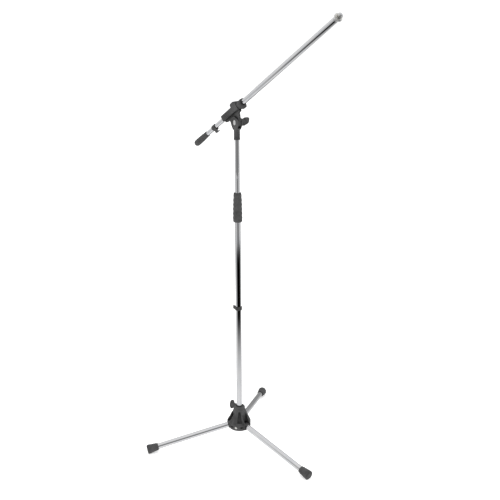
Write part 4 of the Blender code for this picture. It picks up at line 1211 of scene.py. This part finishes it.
def build_floor():
    """Plain pale floor that fades into the white surround."""
    mesh = bpy.data.meshes.new("studio_floor")
    corners = box(-FLOOR_HALF, FLOOR_HALF, -FLOOR_HALF, FLOOR_HALF)
    mesh.from_pydata([(*corner, 0) for corner in corners], [], [(0, 1, 2, 3)])
    floor = new_object("studio_floor", mesh)
    made = Surface("pale_floor", (0.95, 0.95, 0.95), 0.9)
    cloud = made.ramp(made.noise(3.0), 0.3, 0.7, 0.0, 1.0)
    made.colour(made.mix(cloud, (0.95, 0.95, 0.95), (0.96, 0.96, 0.96)))
    made.set("Specular IOR Level", 0.0)
    made.set("Emission Color", (1.0, 1.0, 1.0, 1.0))
    made.set("Emission Strength", 0.3)
    mesh.materials.append(made.material)


def build_lights():
    world = bpy.data.worlds.new("studio")
    bpy.context.scene.world = world
    world.use_nodes = True
    background = world.node_tree.nodes["Background"]
    background.inputs["Color"].default_value = (1.0, 1.0, 1.0, 1.0)
    background.inputs["Strength"].default_value = 1.1
    lamps = (
        ("key_softbox", (-1.9, -1.6, 2.9), 1.5, 22.0),
        ("fill_softbox", (2.3, -1.2, 2.2), 1.2, 9.0),
        ("back_softbox", (0.4, 2.2, 2.8), 1.6, 14.0),
    )
    aim = Vector((0.0, 0.0, 0.7))
    for name, place, size, power in lamps:
        data = bpy.data.lights.new(name, "AREA")
        data.shape = "SQUARE"
        data.size = size
        data.energy = power
        lamp = new_object(name, data)
        lamp.location = place
        lamp.visible_glossy = False
        lamp.rotation_euler = (aim - Vector(place)).to_track_quat("-Z", "Y").to_euler()


def floor_distance(share):
    """Distance of a card row from the pole, closer together near it."""
    return 0.005 + (CARD_R - 0.005) * share**2


def floor_point(share, azimuth):
    return from_front(azimuth, floor_distance(share), CARD_LIFT)


def behind(azimuth):
    """1 in the narrow part behind the stand that the rear leg reflects."""
    return window(azimuth % 360, 122, 145, 188, 212)


def floor_level(share, azimuth):
    """Bright beside the stand, dark in front of it, and half lit again farther off."""
    distance = floor_distance(share)
    far = smooth_step(2.9, 4.6, distance)
    sides = window(azimuth, -95 + 45 * far, -20 + 20 * far, 65 - 40 * far, 125 - 60 * far)
    dark = smooth_step(0.1, 1.2, distance) * (1 - 0.35 * far)
    level = 0.86 * (1 - sides * dark) * (1 - 0.3 * smooth_step(0.6, 2.5, distance))
    return level * (1 - 0.5 * behind(azimuth) * smooth_step(0.15, 0.5, distance))


def dome_level(share, azimuth):
    """Lit from above, with a dim band low down on the camera's side and behind the stand."""
    elevation = 90 * share
    front = window(azimuth, -90, -35, 50, 105) * (1 - smooth_step(30, 60, elevation))
    back = behind(azimuth) * (1 - smooth_step(18, 35, elevation))
    return 0.74 + 0.08 * share - 0.52 * front - 0.42 * back


def dome_point(share, azimuth):
    elevation = math.radians(90 * share)
    return from_front(azimuth, DOME_R * math.cos(elevation), DOME_R * math.sin(elevation))


def build_reflectors():
    reflector("floor_card", 48, 72, floor_point, floor_level)
    reflector("dome_card", 24, 72, dome_point, dome_level)


def build_camera():
    data = bpy.data.cameras.new("camera")
    data.sensor_width = SENSOR_MM
    data.lens = FOCAL_SHARE * SENSOR_MM
    data.clip_start = 0.05
    data.clip_end = 60.0
    camera = new_object("camera", data)
    camera.location = (POLE.x + CAMERA_RIGHT, POLE.y - CAMERA_BACK, CAMERA_HEIGHT)
    look = turn_x(90 - CAMERA_PITCH) @ turn_z(CAMERA_ROLL)
    camera.rotation_euler = look.to_euler()
    bpy.context.scene.camera = camera


def build_object():
    surfaces = make_materials()
    builders = (build_tubes, build_hub, build_hub_knob, build_feet, build_grip, build_clips)
    builders += (build_yoke, build_tilt_bolt, build_tilt_knob, build_holder)
    builders += (build_clutch_nut, build_tail_grip, build_tip, dress_carried_nodes)
    for build in builders:
        build(surfaces)


bpy.context.scene.view_settings.view_transform = "Standard"
build_camera()
build_floor()
build_lights()
build_reflectors()
build_object()
